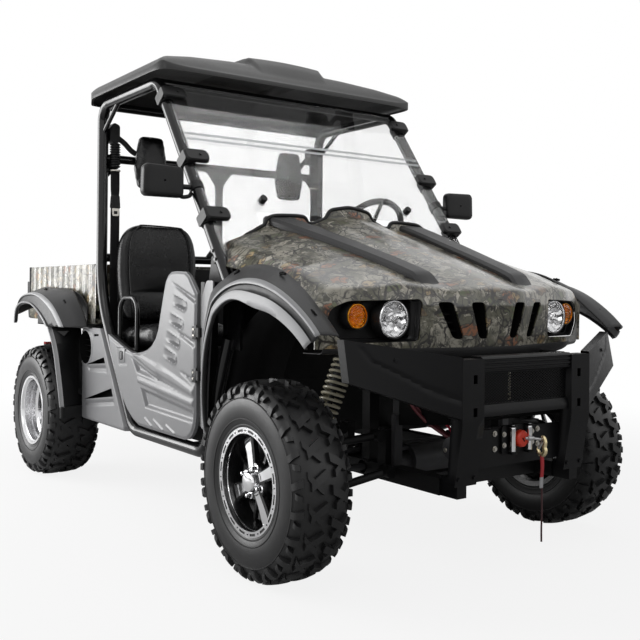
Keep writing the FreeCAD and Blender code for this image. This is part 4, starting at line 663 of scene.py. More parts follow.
LUGS = (
    # shares of the section where it starts and ends, half width, lean, offset in pitches, heights
    (0.02, 0.150, 0.0150, 0.10, 0.00, 0.0135, 0.0135),
    (0.050, 0.185, 0.0115, -0.16, 0.52, 0.0130, 0.0130),
    (0.225, 0.385, 0.0120, 0.04, 0.20, 0.0140, 0.0060),
    (0.250, 0.345, 0.0095, -0.03, 0.72, 0.0140, 0.0070),
)
PITCHES = 21
TREAD_RADIUS = 0.3108


def knobby_tyre(name, node, body, x, y, width):
    """Round-shouldered carcass with ringed walls and two rows of knobs on each side of the crown."""
    half = width / 2 - 0.001
    line = tyre_line(half)
    form = Form()
    section = [(-out, radius) for out, radius in reversed(line[1:])] + line
    form.turned(section, ORIGIN, ACROSS, 128)
    for ring, out in ((0.2560, 0.960), (0.1930, 0.968)):
        foot, head = half * out - 0.002, half * out + 0.0016
        for side in (-1, 1):
            form.turned([(foot, ring - 0.003), (head, ring - 0.0012), (head, ring + 0.0012), (foot, ring + 0.003)],
                        ORIGIN, ACROSS, 96, side=side)
    for start, end, wide, lean, offset, tall, low in LUGS:
        for side in (-1, 1):
            for k in range(PITCHES):
                swing = 2 * math.pi * (k + offset + (0.5 if side < 0 else 0)) / PITCHES
                rows = []
                for step in range(6):
                    part = step / 5
                    (out, radius), (nout, nradius) = along_tyre(line, start + (end - start) * part)
                    rise = tall + (low - tall) * part ** 2.2
                    turn = swing + lean * part
                    row = []
                    for across, up in ((-1.0, -0.004), (-0.84, rise), (0.84, rise), (1.0, -0.004)):
                        angle = turn + across * wide / radius
                        far = min(radius + nradius * up, TREAD_RADIUS)
                        row.append((far * math.sin(angle), side * min(out + nout * up, half),
                                    far * math.cos(angle)))
                    rows.append(row)
                form.grid(rows)
                form.closed(rows[0])
                form.closed(rows[-1], back=True)
    form.make(name, body, ["tyre_rubber"], (x, y, WHEEL_Z), sharp=30, instead=[node])


def ring_with_slots(form, face, inner, outer, count, side):
    """Bright bead ring with sunk dark slots and small rivets."""
    steps = count * 8
    radii = (inner, inner + (outer - inner) * 0.30, inner + (outer - inner) * 0.68, outer)
    for k in range(steps):
        spot = k % 8
        a0, a1 = (2 * math.pi * q / steps for q in (k, k + 1))
        for j in range(3):
            sunk = j == 1 and spot in (1, 2, 3, 4)
            y = side * (face - (0.003 if sunk else 0))
            corners = [(radii[i] * math.sin(a), y, radii[i] * math.cos(a))
                       for i, a in ((j, a0), (j + 1, a0), (j + 1, a1), (j, a1))]
            form.add(corners, [(0, 1, 2, 3)], 1 if sunk else 0)
            if sunk:
                edges = [(0, 3), (1, 2)]
                edges += [(0, 1)] if spot == 1 else []
                edges += [(2, 3)] if spot == 4 else []
                for p, q in edges:
                    (x0, _, z0), (x1, _, z1) = corners[p], corners[q]
                    form.add([(x0, y, z0), (x1, y, z1), (x1, side * face, z1), (x0, side * face, z0)],
                             [(0, 1, 2, 3)], 1)
        if spot == 6:
            middle = (a0 + a1) / 2 + 0.01
            radius = (radii[1] + radii[2]) / 2
            form.rod((radius * math.sin(middle), side * (face - 0.001), radius * math.cos(middle)),
                     (radius * math.sin(middle), side * (face + 0.0012), radius * math.cos(middle)), 0.0022, 1, 8)
    form.turned([(face, inner), (face - 0.012, inner)], ORIGIN, ACROSS, steps, side=side)
    form.turned([(face, outer), (face - 0.008, outer + 0.0005)], ORIGIN, ACROSS, steps, side=side)


def spoke(form, turn, side, face, hub, barrel, reach, deep, number, face_number):
    """One spoke from hub to barrel with sloped flanks and a flat machined face."""
    along = Vector((math.cos(turn), 0, math.sin(turn)))
    across = Vector((-math.sin(turn), 0, math.cos(turn)))
    rows = []
    flats = []
    for part in (0, 0.25, 0.5, 0.75, 0.9, 1.0):
        middle = along * (0.036 + (reach - 0.036) * part)
        half = hub + (barrel - hub) * part ** 1.6
        front = face - 0.006 * math.sin(part * 2.2) - (0.010 * max(part - 0.85, 0) / 0.15)
        back = front - deep * (1 - 0.25 * part)
        rows.append([middle + across * s + Vector((0, side * y, 0)) for s, y in (
            (-half * 1.12, back), (-half, front - 0.004), (-half * 0.78, front), (half * 0.78, front),
            (half, front - 0.004), (half * 1.12, back))])
        flats.append([middle + across * s * half * 0.70 + Vector((0, side * (front + 0.0006), 0))
                      for s in (-1, 0, 1)])
    form.grid(rows, number, round_way=True)
    form.closed(rows[-1], number)
    if face_number is not None:
        form.grid(flats[:-1], face_number)


def brake_disc(form, side, inner, hub_number, disc_number):
    """Hub barrel and a drilled steel disc behind the spokes."""
    form.turned([(inner - 0.012, 0.0157), (inner - 0.012, 0.034), (inner, 0.036), (inner + 0.006, 0.040),
                 (0.030, 0.042), (0.036, 0.050)], ORIGIN, ACROSS, 32, hub_number, side=side)
    form.turned([(inner, 0.036), (inner, 0.0875), (inner + 0.006, 0.0875), (inner + 0.006, 0.040)],
                ORIGIN, ACROSS, 64, disc_number, side=side)
    for swing in turns(12):
        spot = Vector((0.068 * math.cos(swing), side * (inner + 0.0055), 0.068 * math.sin(swing)))
        form.rod(spot, spot + Vector((0, side * 0.0008, 0)), 0.0045, hub_number, 10)


def faced(degrees, side):
    """Angle on a front wheel's outer face, mirrored on the left side."""
    return math.radians(degrees if side < 0 else 180 - degrees)


FRONT_SPOKES, FRONT_SLIM = (26, 112, 205, 298), (69, 158, 252, 342)
REAR_SPOKES, REAR_SLIM = (20, 110, 200, 290), (65, 155, 245, 335)
NUT_CIRCLE = 0.047


def front_wheel(name, node, body, x, y, side):
    """Black barrel with a machined bead ring, four broad and four slim spokes, cap and nuts."""
    form = Form()
    out, seat, lip = 0.0915, 0.1515, 0.1660
    form.turned([
        (-out, lip - 0.002), (-(out - 0.006), lip), (-(out - 0.010), seat), (-0.035, seat), (-0.022, 0.131),
        (0.008, 0.131), (0.022, seat), (out - 0.010, seat), (out - 0.006, lip), (out - 0.001, lip),
        (out - 0.001, 0.1475), (out - 0.010, 0.1455), (0.030, 0.1440), (0.018, 0.1400), (0.008, 0.1270),
        (-0.022, 0.1270), (-0.035, 0.1460), (-(out - 0.002), 0.1460)], ORIGIN, ACROSS, 96, 3, closed=True, side=side)
    ring_with_slots(form, out + 0.0006, 0.1480, 0.1665, 16, side)
    form.turned([(0.075, 0.1462), (0.0765, 0.1448), (0.0740, 0.1440)], ORIGIN, ACROSS, 96, 2, side=side)
    for degrees in FRONT_SPOKES:
        spoke(form, faced(degrees, side), side, 0.066, 0.0185, 0.0300, 0.146, 0.022, 3, 2)
    for degrees in FRONT_SLIM:
        spoke(form, faced(degrees, side), side, 0.046, 0.0070, 0.0060, 0.144, 0.014, 3, None)
    form.turned([(0.020, 0.062), (0.050, 0.060), (0.062, 0.056), (0.066, 0.044), (0.066, 0.030)],
                ORIGIN, ACROSS, 48, 3, side=side)
    form.turned([(0.064, 0.034), (0.084, 0.0315), (0.090, 0.028), (0.093, 0.018), (0.094, 0.0002)],
                ORIGIN, ACROSS, 40, 2, side=side)
    for degrees in FRONT_SLIM:
        swing = faced(degrees, side)
        spot = Vector((NUT_CIRCLE * math.cos(swing), side * 0.064, NUT_CIRCLE * math.sin(swing)))
        form.rod(spot, spot + Vector((0, side * 0.003, 0)), 0.0110, 2, 20)
        form.rod(spot, spot + Vector((0, side * 0.013, 0)), 0.0082, 2, 6, 0.0078)
        form.turned([(0.013, 0.0066), (0.020, 0.0055), (0.023, 0.0002)], spot, ACROSS, 16, 2, side=side)
    brake_disc(form, side, DISC_FACE - abs(y), 1, 2)
    form.make(name, body, ["machined", "slot_black", "chrome", "rim_black"], (x, y, WHEEL_Z), sharp=32,
              instead=[node])


def rear_wheel(name, node, body, x, y, side):
    """Deep machined barrel with a rolled lip and a dark centre."""
    form = Form()
    out = 0.1135
    form.turned([
        (-out, 0.164), (-(out - 0.010), 0.1515), (-0.02, 0.1515), (0.02, 0.1400), (out - 0.012, 0.1515),
        (out - 0.008, 0.1640), (out - 0.002, 0.1660), (out + 0.002, 0.1640), (out + 0.001, 0.1540),
        (out - 0.008, 0.1500), (out - 0.012, 0.1455), (0.050, 0.1420), (0.044, 0.1350), (0.040, 0.1300),
        (0.0, 0.1290), (-0.020, 0.1460), (-(out - 0.002), 0.1470)], ORIGIN, ACROSS, 96, closed=True, side=side)
    form.turned([(0.070, 0.1432), (0.073, 0.1415), (0.066, 0.1405)], ORIGIN, ACROSS, 96, 1, side=side)
    for degrees in REAR_SPOKES:
        spoke(form, math.radians(degrees), side, 0.034, 0.0190, 0.0290, 0.136, 0.018, 2, 0)
    for degrees in REAR_SLIM:
        spoke(form, math.radians(degrees), side, 0.020, 0.0080, 0.0070, 0.134, 0.012, 2, None)
    form.turned([(0.004, 0.062), (0.024, 0.060), (0.034, 0.056), (0.036, 0.030)], ORIGIN, ACROSS, 48, 2, side=side)
    form.turned([(0.034, 0.034), (0.050, 0.0315), (0.056, 0.028), (0.059, 0.0002)], ORIGIN, ACROSS, 40, 1, side=side)
    for degrees in REAR_SLIM:
        swing = math.radians(degrees)
        spot = Vector((NUT_CIRCLE * math.cos(swing), side * 0.034, NUT_CIRCLE * math.sin(swing)))
        form.rod(spot, spot + Vector((0, side * 0.013, 0)), 0.0082, 1, 6, 0.0078)
    brake_disc(form, side, DISC_FACE - abs(y), 2, 1)
    form.make(name, body, ["machined", "chrome", "rim_black"], (x, y, WHEEL_Z), sharp=32, instead=[node])


for side, label in SIDES:
    front, rear = "wheel_front_" + label, "wheel_rear_" + label
    front_y, rear_y = side * FRONT_TRACK, side * REAR_TRACK
    knobby_tyre("front_knobs_" + label, "front_tyre_" + label, front, FRONT_AXLE, front_y, 0.205)
    knobby_tyre("rear_knobs_" + label, "rear_tyre_" + label, rear, REAR_AXLE, rear_y, 0.25)
    front_wheel("front_wheel_" + label, "front_rim_" + label, front, FRONT_AXLE, front_y, side)
    rear_wheel("rear_wheel_" + label, "rear_rim_" + label, rear, REAR_AXLE, rear_y, side)


def brake_calliper(side, label):
    """Zinc calliper over the inner face of a front brake disc, with its two pins and hose end."""
    form = Form()
    x, y = FRONT_AXLE, side * 0.572
    pad = rounded([(x + 0.050, 0.268), (x + 0.106, 0.272), (x + 0.106, 0.350), (x + 0.050, 0.354)], 0.014)
    form.side_plate(pad, side, 0.572, 0.030, crown=(0.86, 0.004))
    form.rod((x + 0.078, y - side * 0.012, WHEEL_Z), (x + 0.078, y + side * 0.004, WHEEL_Z), 0.019, 0)
    for z in (0.284, 0.338):
        form.rod((x + 0.078, y - side * 0.004, z), (x + 0.078, y + side * 0.030, z), 0.0085, 1)
    form.make("brake_calliper_" + label, "knuckle_" + label, ["zinc", "plated_steel"], sharp=35)


for side, label in SIDES:
    brake_calliper(side, label)


# Moulded panels

def reach_to_edges(x, z, outline):
    """Distance from points to the nearest edge of an outline."""
    best = np.full(np.shape(x), 9.0)
    for (x0, z0), (x1, z1) in zip(outline, outline[1:] + outline[:1]):
        dx, dz = x1 - x0, z1 - z0
        share = np.clip(((x - x0) * dx + (z - z0) * dz) / (dx * dx + dz * dz), 0, 1)
        best = np.minimum(best, np.hypot(x - x0 - dx * share, z - z0 - dz * share))
    return best


def within(x, z, outline):
    """Whether points lie in an outline."""
    odd = np.zeros(np.shape(x), bool)
    for (x0, z0), (x1, z1) in zip(outline, outline[1:] + outline[:1]):
        if z0 != z1:
            crosses = (z0 > z) != (z1 > z)
            odd ^= crosses & (x < x0 + (z - z0) * (x1 - x0) / (z1 - z0))
    return odd


def eased(share):
    """A share from 0 to 1 with a soft start and end."""
    share = np.clip(share, 0, 1)
    return share * share * (3 - 2 * share)


def pressed(x, z, outline, ramp):
    """1 well inside an outline and 0 outside it, with a smooth slope at its edge."""
    return eased(reach_to_edges(x, z, outline) / ramp) * within(x, z, outline)


def capsule(start, end, radius, steps=8):
    """Outline of a bar with a square start and a round end."""
    (x0, z0), (x1, z1) = start, end
    length = math.hypot(x1 - x0, z1 - z0)
    ax, az = (x1 - x0) / length, (z1 - z0) / length
    outline = [(x0 - az * radius, z0 + ax * radius)]
    for k in range(steps + 1):
        swing = math.pi / 2 - math.pi * k / steps
        outline.append((x1 + radius * (ax * math.cos(swing) - az * math.sin(swing)),
                        z1 + radius * (az * math.cos(swing) + ax * math.sin(swing))))
    outline.append((x0 + az * radius, z0 - ax * radius))
    return outline


def rows_of(x, y, z):
    """Rows of points from three tables of numbers."""
    return [list(zip(*line)) for line in zip(x, y, z)]


def border_of(rows):
    """The points round the edge of a grid, in order."""
    return rows[0][:] + [row[-1] for row in rows[1:]] + rows[-1][-2::-1] + [row[0] for row in rows[-2:0:-1]]


# Doors

DOOR_TOP = (
    # x, z of the door's upper edge from its rear to its hinges
    (-0.300, 0.702), (-0.200, 0.672), (-0.094, 0.643), (-0.02, 0.636), (0.040, 0.642), (0.098, 0.655), (0.142, 0.676),
    (0.176, 0.706), (0.200, 0.745), (0.216, 0.800), (0.236, 0.868), (0.256, 0.928), (0.276, 0.952), (0.304, 0.964),
    (0.340, 0.966), (0.420, 0.963), (0.450, 0.948), (0.514, 0.884),
)
DOOR_FOOT = (
    (-0.300, 0.700), (-0.250, 0.604), (-0.197, 0.502), (-0.145, 0.443), (-0.094, 0.398), (-0.040, 0.366),
    (0.020, 0.347), (0.200, 0.345), (0.420, 0.345), (0.455, 0.352), (0.486, 0.374), (0.506, 0.408), (0.514, 0.450),
)
SCOOPS = (
    # start x, z and tip x, z of the four pressed scoops by the hinges
    (0.322, 0.865, 0.424, 0.839), (0.293, 0.796, 0.400, 0.769), (0.270, 0.727, 0.376, 0.699),
    (0.248, 0.663, 0.350, 0.637),
)
RAILS = (
    # raised bars that fall from the latch towards the sill
    ((-0.072, 0.657), (0.113, 0.624), (0.312, 0.588), (0.505, 0.540), (0.505, 0.508), (0.342, 0.540), (0.161, 0.572),
     (-0.058, 0.634)),
    ((0.014, 0.547), (0.269, 0.524), (0.505, 0.500), (0.505, 0.470), (0.270, 0.493), (0.022, 0.519)),
)
HOLLOWS = (
    # outline, depth and slope of what is pressed into the door
    (((-0.048, 0.622), (0.012, 0.556), (0.250, 0.534), (0.500, 0.504), (0.342, 0.534), (0.161, 0.565)), 0.011, 0.020),
    (((0.040, 0.506), (0.092, 0.424), (0.500, 0.412), (0.500, 0.462), (0.270, 0.484)), 0.010, 0.018),
    (((0.300, 0.934), (0.508, 0.872), (0.508, 0.842), (0.356, 0.898)), 0.006, 0.012),
    (((0.352, 0.750), (0.508, 0.716), (0.508, 0.684), (0.398, 0.720)), 0.006, 0.010),
    (((0.360, 0.606), (0.508, 0.578), (0.508, 0.546)), 0.007, 0.012),
    (((-0.196, 0.652), (-0.084, 0.655), (-0.084, 0.580), (-0.168, 0.574)), 0.0025, 0.004),
)
HINGE_HEIGHTS = (0.745, 0.590)
SLASHES = ((0.085, 0.385, 0.150, 0.360), (0.165, 0.388, 0.250, 0.357), (0.275, 0.380, 0.350, 0.357))


def door_skin(x, z, outline):
    """How far the door's face stands from the middle of the vehicle."""
    face = 0.6300 + 0.0060 * eased(reach_to_edges(x, z, outline) / 0.012)
    face += 0.0035 * np.sin(np.clip((z - 0.345) / 0.62, 0, 1) * math.pi)
    for rail in RAILS:
        face += 0.0045 * pressed(x, z, list(rail), 0.010)
    for hollow, depth, slope in HOLLOWS:
        face -= 1.35 * depth * pressed(x, z, list(hollow), slope)
    for x0, z0, x1, z1 in SCOOPS:
        along = np.clip(((x - x0) * (x1 - x0) + (z - z0) * (z1 - z0)) / ((x1 - x0) ** 2 + (z1 - z0) ** 2), 0, 1.2)
        face -= 0.0140 * eased(along * 1.3) * pressed(x, z, capsule((x0, z0), (x1, z1), 0.0165), 0.005)
        rim = pressed(x, z, capsule((x0 - 0.004, z0 + 0.001), (x1, z1), 0.025), 0.006)
        face += 0.0034 * eased(along * 2) * (rim - pressed(x, z, capsule((x0, z0), (x1, z1), 0.0185), 0.003))
    for x0, z0, x1, z1 in SLASHES:
        face += 0.004 * pressed(x, z, capsule((x0, z0), (x1, z1), 0.0065), 0.005)
    return face


def door(name, node, body, side):
    """Moulded skin with a black lining, latch, and hinge leaves."""
    across, tall = 190, 130
    top = np.array(DOOR_TOP)
    foot = np.array(DOOR_FOOT)
    xs = np.linspace(-0.299, 0.514, across)
    high = np.interp(xs, top[:, 0], top[:, 1])
    low = np.interp(xs, foot[:, 0], foot[:, 1])
    outline = [tuple(p) for p in foot] + [tuple(p) for p in reversed(top)]
    share = eased(np.linspace(0, 1, tall)) * 0.25 + np.linspace(0, 1, tall) * 0.75
    x = np.repeat(xs[:, None], tall, 1)
    z = low[:, None] + (high - low)[:, None] * share[None, :]
    face = door_skin(x, z, outline)
    form = Form()
    rows = rows_of(x, side * face, z)
    form.grid(rows)
    border = border_of([list(column) for column in zip(*rows)])
    inner = [(px, side * 0.6180, pz) for px, _, pz in border]
    form.grid([border, inner], round_way=True)
    form.closed(inner)
    middle = Vector((0.19, 0, 0.56))
    lining = [Vector((px, 0, pz)) for px, pz in outline]
    lining = [p + (middle - p).normalized() * 0.016 for p in lining]
    form.side_plate([(p.x, p.z) for p in lining], side, 0.602, 0.0157, 1)
    form.make(name, body, ["door_grey", "black_plastic"], sharp=50, instead=[node])
    parts = Form()
    latch = rounded([(-0.178, 0.586), (-0.112, 0.590), (-0.112, 0.650), (-0.178, 0.646)], 0.012)
    parts.side_plate(latch, side, 0.6330, 0.0040, 0, (0.88, 0.0022))
    recess = rounded([(-0.160, 0.600), (-0.128, 0.602), (-0.128, 0.638), (-0.160, 0.636)], 0.006)
    parts.side_plate(recess, side, 0.6385, 0.0012, 1, (0.9, 0.0006))
    parts.side_plate([(-0.151, 0.604), (-0.140, 0.605), (-0.140, 0.634), (-0.151, 0.633)], side, 0.6395, 0.0012, 0,
                     (0.7, 0.0004))
    for z0 in HINGE_HEIGHTS:
        leaf = [(0.492, z0 - 0.026), (0.524, z0 - 0.026), (0.524, z0 + 0.026), (0.492, z0 + 0.020)]
        parts.side_plate(leaf, side, 0.6375, 0.0032, 2, (0.94, 0.0006))
        parts.rod((0.543, side * 0.637, z0 - 0.0168), (0.543, side * 0.637, z0 + 0.0168), 0.0088, 2)
        tongue = [(0.520, z0 - 0.0165), (0.5425, z0 - 0.0165), (0.5425, z0 + 0.0165), (0.520, z0 + 0.0165)]
        parts.side_plate(tongue, side, 0.6360, 0.0045, 2)
        for dz in (-0.012, 0.010):
            bolt(parts, (0.505, side * 0.6405, z0 + dz), (0, side, 0), 0.0046, 4)
    parts.make(name + "_fittings", body,
               ["door_grey", "slot_black", "black_plastic", "flare_charcoal", "plated_steel"], sharp=35)


for side, label in SIDES:
    door("door_skin_" + label, "door_" + label, "door_" + label, side)


# Wheel arch mouldings

FRONT_CENTRE, REAR_CENTRE = (FRONT_AXLE, 0.45), (REAR_AXLE, 0.40)
FRONT_ARCH = (
    # degrees round the arch, then seat, ridge and lip from its centre, then their distance from the middle
    (46, 0.440, 0.450, 0.392, 0.6123, 0.690, 0.710), (61, 0.445, 0.454, 0.388, 0.6123, 0.695, 0.712),
    (75, 0.472, 0.464, 0.390, 0.6123, 0.700, 0.716), (90, 0.513, 0.478, 0.395, 0.6123, 0.700, 0.716),
    (108, 0.558, 0.492, 0.438, 0.6123, 0.700, 0.716), (123, 0.592, 0.502, 0.446, 0.6123, 0.696, 0.712),
    (131, 0.590, 0.500, 0.446, 0.6383, 0.684, 0.700), (140, 0.560, 0.490, 0.440, 0.6383, 0.672, 0.690),
    (162, 0.470, 0.448, 0.418, 0.6383, 0.656, 0.672), (187, 0.420, 0.408, 0.384, 0.6383, 0.654, 0.668),
)
REAR_ARCH = (
    (134, 0.560, 0.500, 0.425, 0.612, 0.735, 0.762), (122, 0.582, 0.520, 0.470, 0.612, 0.740, 0.766),
    (102, 0.508, 0.484, 0.434, 0.612, 0.742, 0.766), (80, 0.503, 0.462, 0.392, 0.612, 0.742, 0.766),
    (60, 0.525, 0.455, 0.366, 0.6403, 0.736, 0.762), (38, 0.512, 0.440, 0.345, 0.6403, 0.724, 0.752),
    (14, 0.450, 0.415, 0.335, 0.6403, 0.708, 0.744), (-8, 0.425, 0.405, 0.384, 0.6403, 0.700, 0.740),
)


def arch_section(seat, ridge, lip, lip_highlight_share):
    """Points across the moulding from its seat to its lip, with the finish of each stretch; finish 1 is the painted
    highlight.
    """
    seat, ridge, lip = Vector(seat), Vector(ridge), Vector(lip)
    top, face = ridge - seat, lip - ridge
    out = Vector((-face.y, face.x)).normalized()
    out = out if out.y > 0 else -out
    over = Vector((-top.y, top.x)).normalized()
    over = over if over.x > 0 else -over
    # Stretches given finish 1 are painted highlight: one band over the ridge, and the lip's face from the given share
    # on.
    return [
        (seat, 0), (seat + top * 0.05 + over * 0.004, 0), (seat + top * 0.45 + over * 0.006, 0),
        (seat + top * 0.84 + over * 0.003, 0), (ridge - top * 0.06 + over * 0.003 + out * 0.001, 1),
        (ridge + face * 0.08 + out * 0.006, 1), (ridge + face * 0.17 + out * 0.005, 0),
        (ridge + face * 0.21 - out * 0.003, 0), (ridge + face * (lip_highlight_share * 0.5 + 0.09) - out * 0.006, 0),
        (ridge + face * (lip_highlight_share - 0.04) - out * 0.003, 0), (ridge + face * lip_highlight_share + out * 0.004, 1),
        (ridge + face * (lip_highlight_share * 0.6 + 0.4) + out * 0.006, 1), (lip - face * 0.03 + out * 0.004, 1),
        (lip + out * 0.001, 0),
        (lip - out * 0.012, 0),
    ]


def wheel_arch(name, node, rows, centre, side, slots, foot=None, lip_highlight_share=0.50):
    """Moulding round a wheel arch, cut level at its foot; a painted highlight runs over its ridge and over its lip from
    a share of its face on.
    """
    form = Form()
    sections = []
    for degrees, seat, ridge, lip, seat_y, ridge_y, lip_y in smooth_rows(rows, 10):
        swing = math.radians(degrees)
        line = arch_section((seat, seat_y), (ridge, ridge_y), (lip, lip_y), lip_highlight_share)
        sections.append([((centre[0] + p.x * math.cos(swing), side * p.y, centre[1] + p.x * math.sin(swing)), number)
                         for p, number in line])
    for near, far in zip(sections, sections[1:]):
        for j in range(len(near) - 1):
            form.add([near[j][0], near[j + 1][0], far[j + 1][0], far[j][0]], [(0, 1, 2, 3)], near[j][1])
    made = form.make(name, "chassis", ["flare_charcoal", "flare_painted_highlight"], sharp=48, wall=0.004,
                     offset=side, instead=[node] if node else [])
    if foot is not None:
        work = bmesh.new()
        work.from_mesh(made.data)
        bmesh.ops.bisect_plane(work, geom=work.verts[:] + work.edges[:] + work.faces[:], plane_co=(0, 0, foot),
                               plane_no=(0, 0, 1), clear_inner=True)
        work.to_mesh(made.data)
        work.free()
    marks = Form()
    for degrees, radius, out in slots:
        swing = math.radians(degrees)
        spot = Vector((centre[0] + radius * math.cos(swing), side * out, centre[1] + radius * math.sin(swing)))
        along = Vector((-math.sin(swing), 0, math.cos(swing)))
        up = Vector((math.cos(swing), side * 0.35, math.sin(swing))).normalized()
        marks.rod(spot - along * 0.014, spot + along * 0.014, 0.0045, 0, 12)
        marks.rod(spot - up * 0.002, spot + up * 0.006, 0.0042, 0, 12, 0.0030)
    marks.make(name + "_clips", "chassis", ["slot_black"], sharp=40)


for side, label in SIDES:
    wheel_arch("front_arch_" + label, "front_flares" if side > 0 else None, FRONT_ARCH, FRONT_CENTRE, side,
               ((84, 0.502, 0.640), (58, 0.452, 0.656), (112, 0.546, 0.652)))
    wheel_arch("rear_arch_" + label, None, REAR_ARCH, REAR_CENTRE, side,
               ((62, 0.494, 0.690), (96, 0.495, 0.684)), foot=0.722, lip_highlight_share=0.86)


# Roof

def between(x, spots):
    """Values read off a line of straight runs."""
    table = np.array(spots)
    return np.interp(x, table[:, 0], table[:, 1])


def softened(x, spots, reach=0.012):
    """A line of straight runs with its corners rounded."""
    steps = np.linspace(-reach, reach, 7)
    return sum(between(x + step, spots) for step in steps) / len(steps)


def soft_least(a, b, blend):
    """The lesser of two heights, with the crossing rounded."""
    share = np.clip(0.5 + 0.5 * (b - a) / blend, 0, 1)
    return b + (a - b) * share - blend * share * (1 - share)


ROOF_ACROSS = ((0, 1.866), (0.285, 1.858), (0.480, 1.842), (0.600, 1.822), (0.634, 1.800), (0.650, 1.765))
ROOF_ALONG = ((-0.549, 1.750), (-0.536, 1.795), (-0.440, 1.868), (-0.20, 1.882), (0.060, 1.882), (0.130, 1.868),
              (0.206, 1.800), (0.236, 1.766))
CROWN_ALONG = ((-0.549, 1.70), (-0.515, 1.832), (-0.470, 1.868), (-0.420, 1.896), (-0.15, 1.901), (0.110, 1.899),
               (0.155, 1.862), (0.190, 1.815), (0.236, 1.70))


def roof_top():
    """Moulded roof with a raised middle, rolled edges and a turned-down rim."""
    long, wide = 120, 150
    u = np.linspace(-1, 1, long)[:, None] * np.ones((1, wide))
    v = np.ones((long, 1)) * np.linspace(-1, 1, wide)[None, :]
    x = -0.1565 + 0.3925 * u * (1 - 0.045 * np.abs(v) ** 14)
    y = 0.650 * v * (1 - 0.035 * np.abs(u) ** 14)
    z = soft_least(softened(np.abs(y), ROOF_ACROSS), softened(x, ROOF_ALONG), 0.03)
    half = 0.238 - 0.030 * eased((x - 0.02) / 0.19)
    crown = softened(x, CROWN_ALONG) - 0.090 * eased((np.abs(y) - half + 0.048) / 0.062) - 0.012 * (y / 0.25) ** 2
    z = -soft_least(-z, -crown, 0.016)
    rim = 1.734 + 0.020 * eased((x + 0.53) / 0.06)
    z = np.maximum(z, rim + 0.004)
    rows = rows_of(x, y, z)
    form = Form()
    form.grid(rows)
    edge, low = border_of(rows), border_of(rows_of(x, y, rim))
    tucked = [(px * 0.985 - 0.002, py * 0.985, pz + 0.001) for px, py, pz in low]
    form.grid([edge, low, tucked], round_way=True)
    form.make("roof_moulding", "chassis", ["roof_grey"], sharp=60, wall=0.005, instead=["roof"])


roof_top()


# Hood and nose

PILLAR_FOOT = Vector((0.731, 0, 0.863))
PILLAR_HEAD = Vector((0.115, 0, 1.726))
PILLAR = (PILLAR_HEAD - PILLAR_FOOT).normalized()
PILLAR_OUT = Vector((PILLAR.z, 0, -PILLAR.x))
PILLAR_Y = 0.600
HOOD_ROWS = (
    # x, then heights at each place across
    (0.585, 1.200, 1.184, 1.152, 1.144, 1.068, 0.985), (0.850, 1.098, 1.092, 1.070, 1.072, 1.018, 0.950),
    (1.050, 1.030, 1.024, 1.008, 1.010, 0.968, 0.915), (1.200, 0.978, 0.972, 0.958, 0.960, 0.912, 0.860),
    (1.400, 0.900, 0.895, 0.884, 0.884, 0.838, 0.790),
)
HOOD_ACROSS = (0, 0.100, 0.180, 0.360, 0.568, 0.612)
NOSE_ROWS = (
    # z, then how far forward the nose reaches at each place across
    (0.560, 1.352, 1.346, 1.322, 1.268, 1.190), (0.718, 1.376, 1.370, 1.344, 1.290, 1.212),
    (0.860, 1.388, 1.380, 1.352, 1.296, 1.214), (1.300, 1.290, 1.282, 1.254, 1.196, 1.114),
)
NOSE_ACROSS = (0, 0.110, 0.215, 0.440, 0.600)
POD_EDGE = ((0.296, 0.745), (0.290, 0.875), (0.520, 0.868), (0.566, 0.845), (0.582, 0.790), (0.526, 0.741))
POD_RINGS = (
    # rings of a lamp's recess: how far in, the share of the way to its middle, how far back
    (0.0012, 0, 0.0015), (0.0030, 0, 0.0040), (0.0042, 0, 0.0120), (0.0080, 0, 0.0285), (0.0120, 0, 0.0310),
    (0.012, 0.04, 0.070), (0.012, 0.55, 0.070), (0.012, 0.98, 0.070),
)
SLOT_SPOTS = ((0.066, 0.092), (0.160, 0.208))


def table_at(rows, across, first, second, reach=0.014):
    """Value of a table at (row place, place across), with softened creases across."""
    table = np.array(rows)
    total = 0
    steps = np.linspace(-reach, reach, 5)
    for step in steps:
        spots = np.abs(second + step)
        columns = np.array([np.interp(spots, across, row[1:]) for row in table])
        total += np.array([np.interp(f, table[:, 0], columns[:, k]) for k, f in enumerate(first)])
    return total / len(steps)


def body_column(y):
    """Points of the hood and nose over one line across: from the screen forward, then down the nose."""
    x = 1.30
    place = min(y, 0.600)
    for _ in range(30):
        height = table_at(HOOD_ROWS, HOOD_ACROSS, [x], np.array([y]))[0]
        x = table_at(NOSE_ROWS, NOSE_ACROSS, [height], np.array([place]))[0] * 0.5 + x * 0.5
    ahead = 0.591 + (x - 0.591) * (1 - (1 - np.linspace(0, 1, 60)) ** 1.25)
    heights = table_at(HOOD_ROWS, HOOD_ACROSS, ahead, np.full(60, y))
    down = height - (height - 0.7225) * np.linspace(0, 1, 46)[1:] ** 1.15
    reaches = table_at(NOSE_ROWS, NOSE_ACROSS, down, np.full(45, place))
    line = [np.array(p) for p in zip([*ahead, *reaches], [*heights, *down])]
    for _ in range(10):
        line = [line[0]] + [(line[i - 1] + 2 * line[i] + line[i + 1]) / 4 if 48 < i < 74 else line[i]
                            for i in range(1, len(line) - 1)] + [line[-1]]
    return [(p[0], y, p[1]) for p in line]


def carve(made, cutter_form, name):
    """Cuts the shapes of one form out of a piece."""
    cutter = bpy.data.objects.new(name, cutter_form.mesh(name, weld=1e-6))
    scene.collection.objects.link(cutter)
    change = made.modifiers.new("carve", "BOOLEAN")
    change.operation = "DIFFERENCE"
    change.solver = "EXACT"
    change.object = cutter
    bpy.context.view_layer.update()
    solid = made.evaluated_get(bpy.context.evaluated_depsgraph_get())
    result = bpy.data.meshes.new_from_object(solid)
    made.modifiers.clear()
    made.data = result
    bpy.data.objects.remove(cutter)
    result.shade_smooth()
    result.set_sharp_from_angle(angle=math.radians(40))


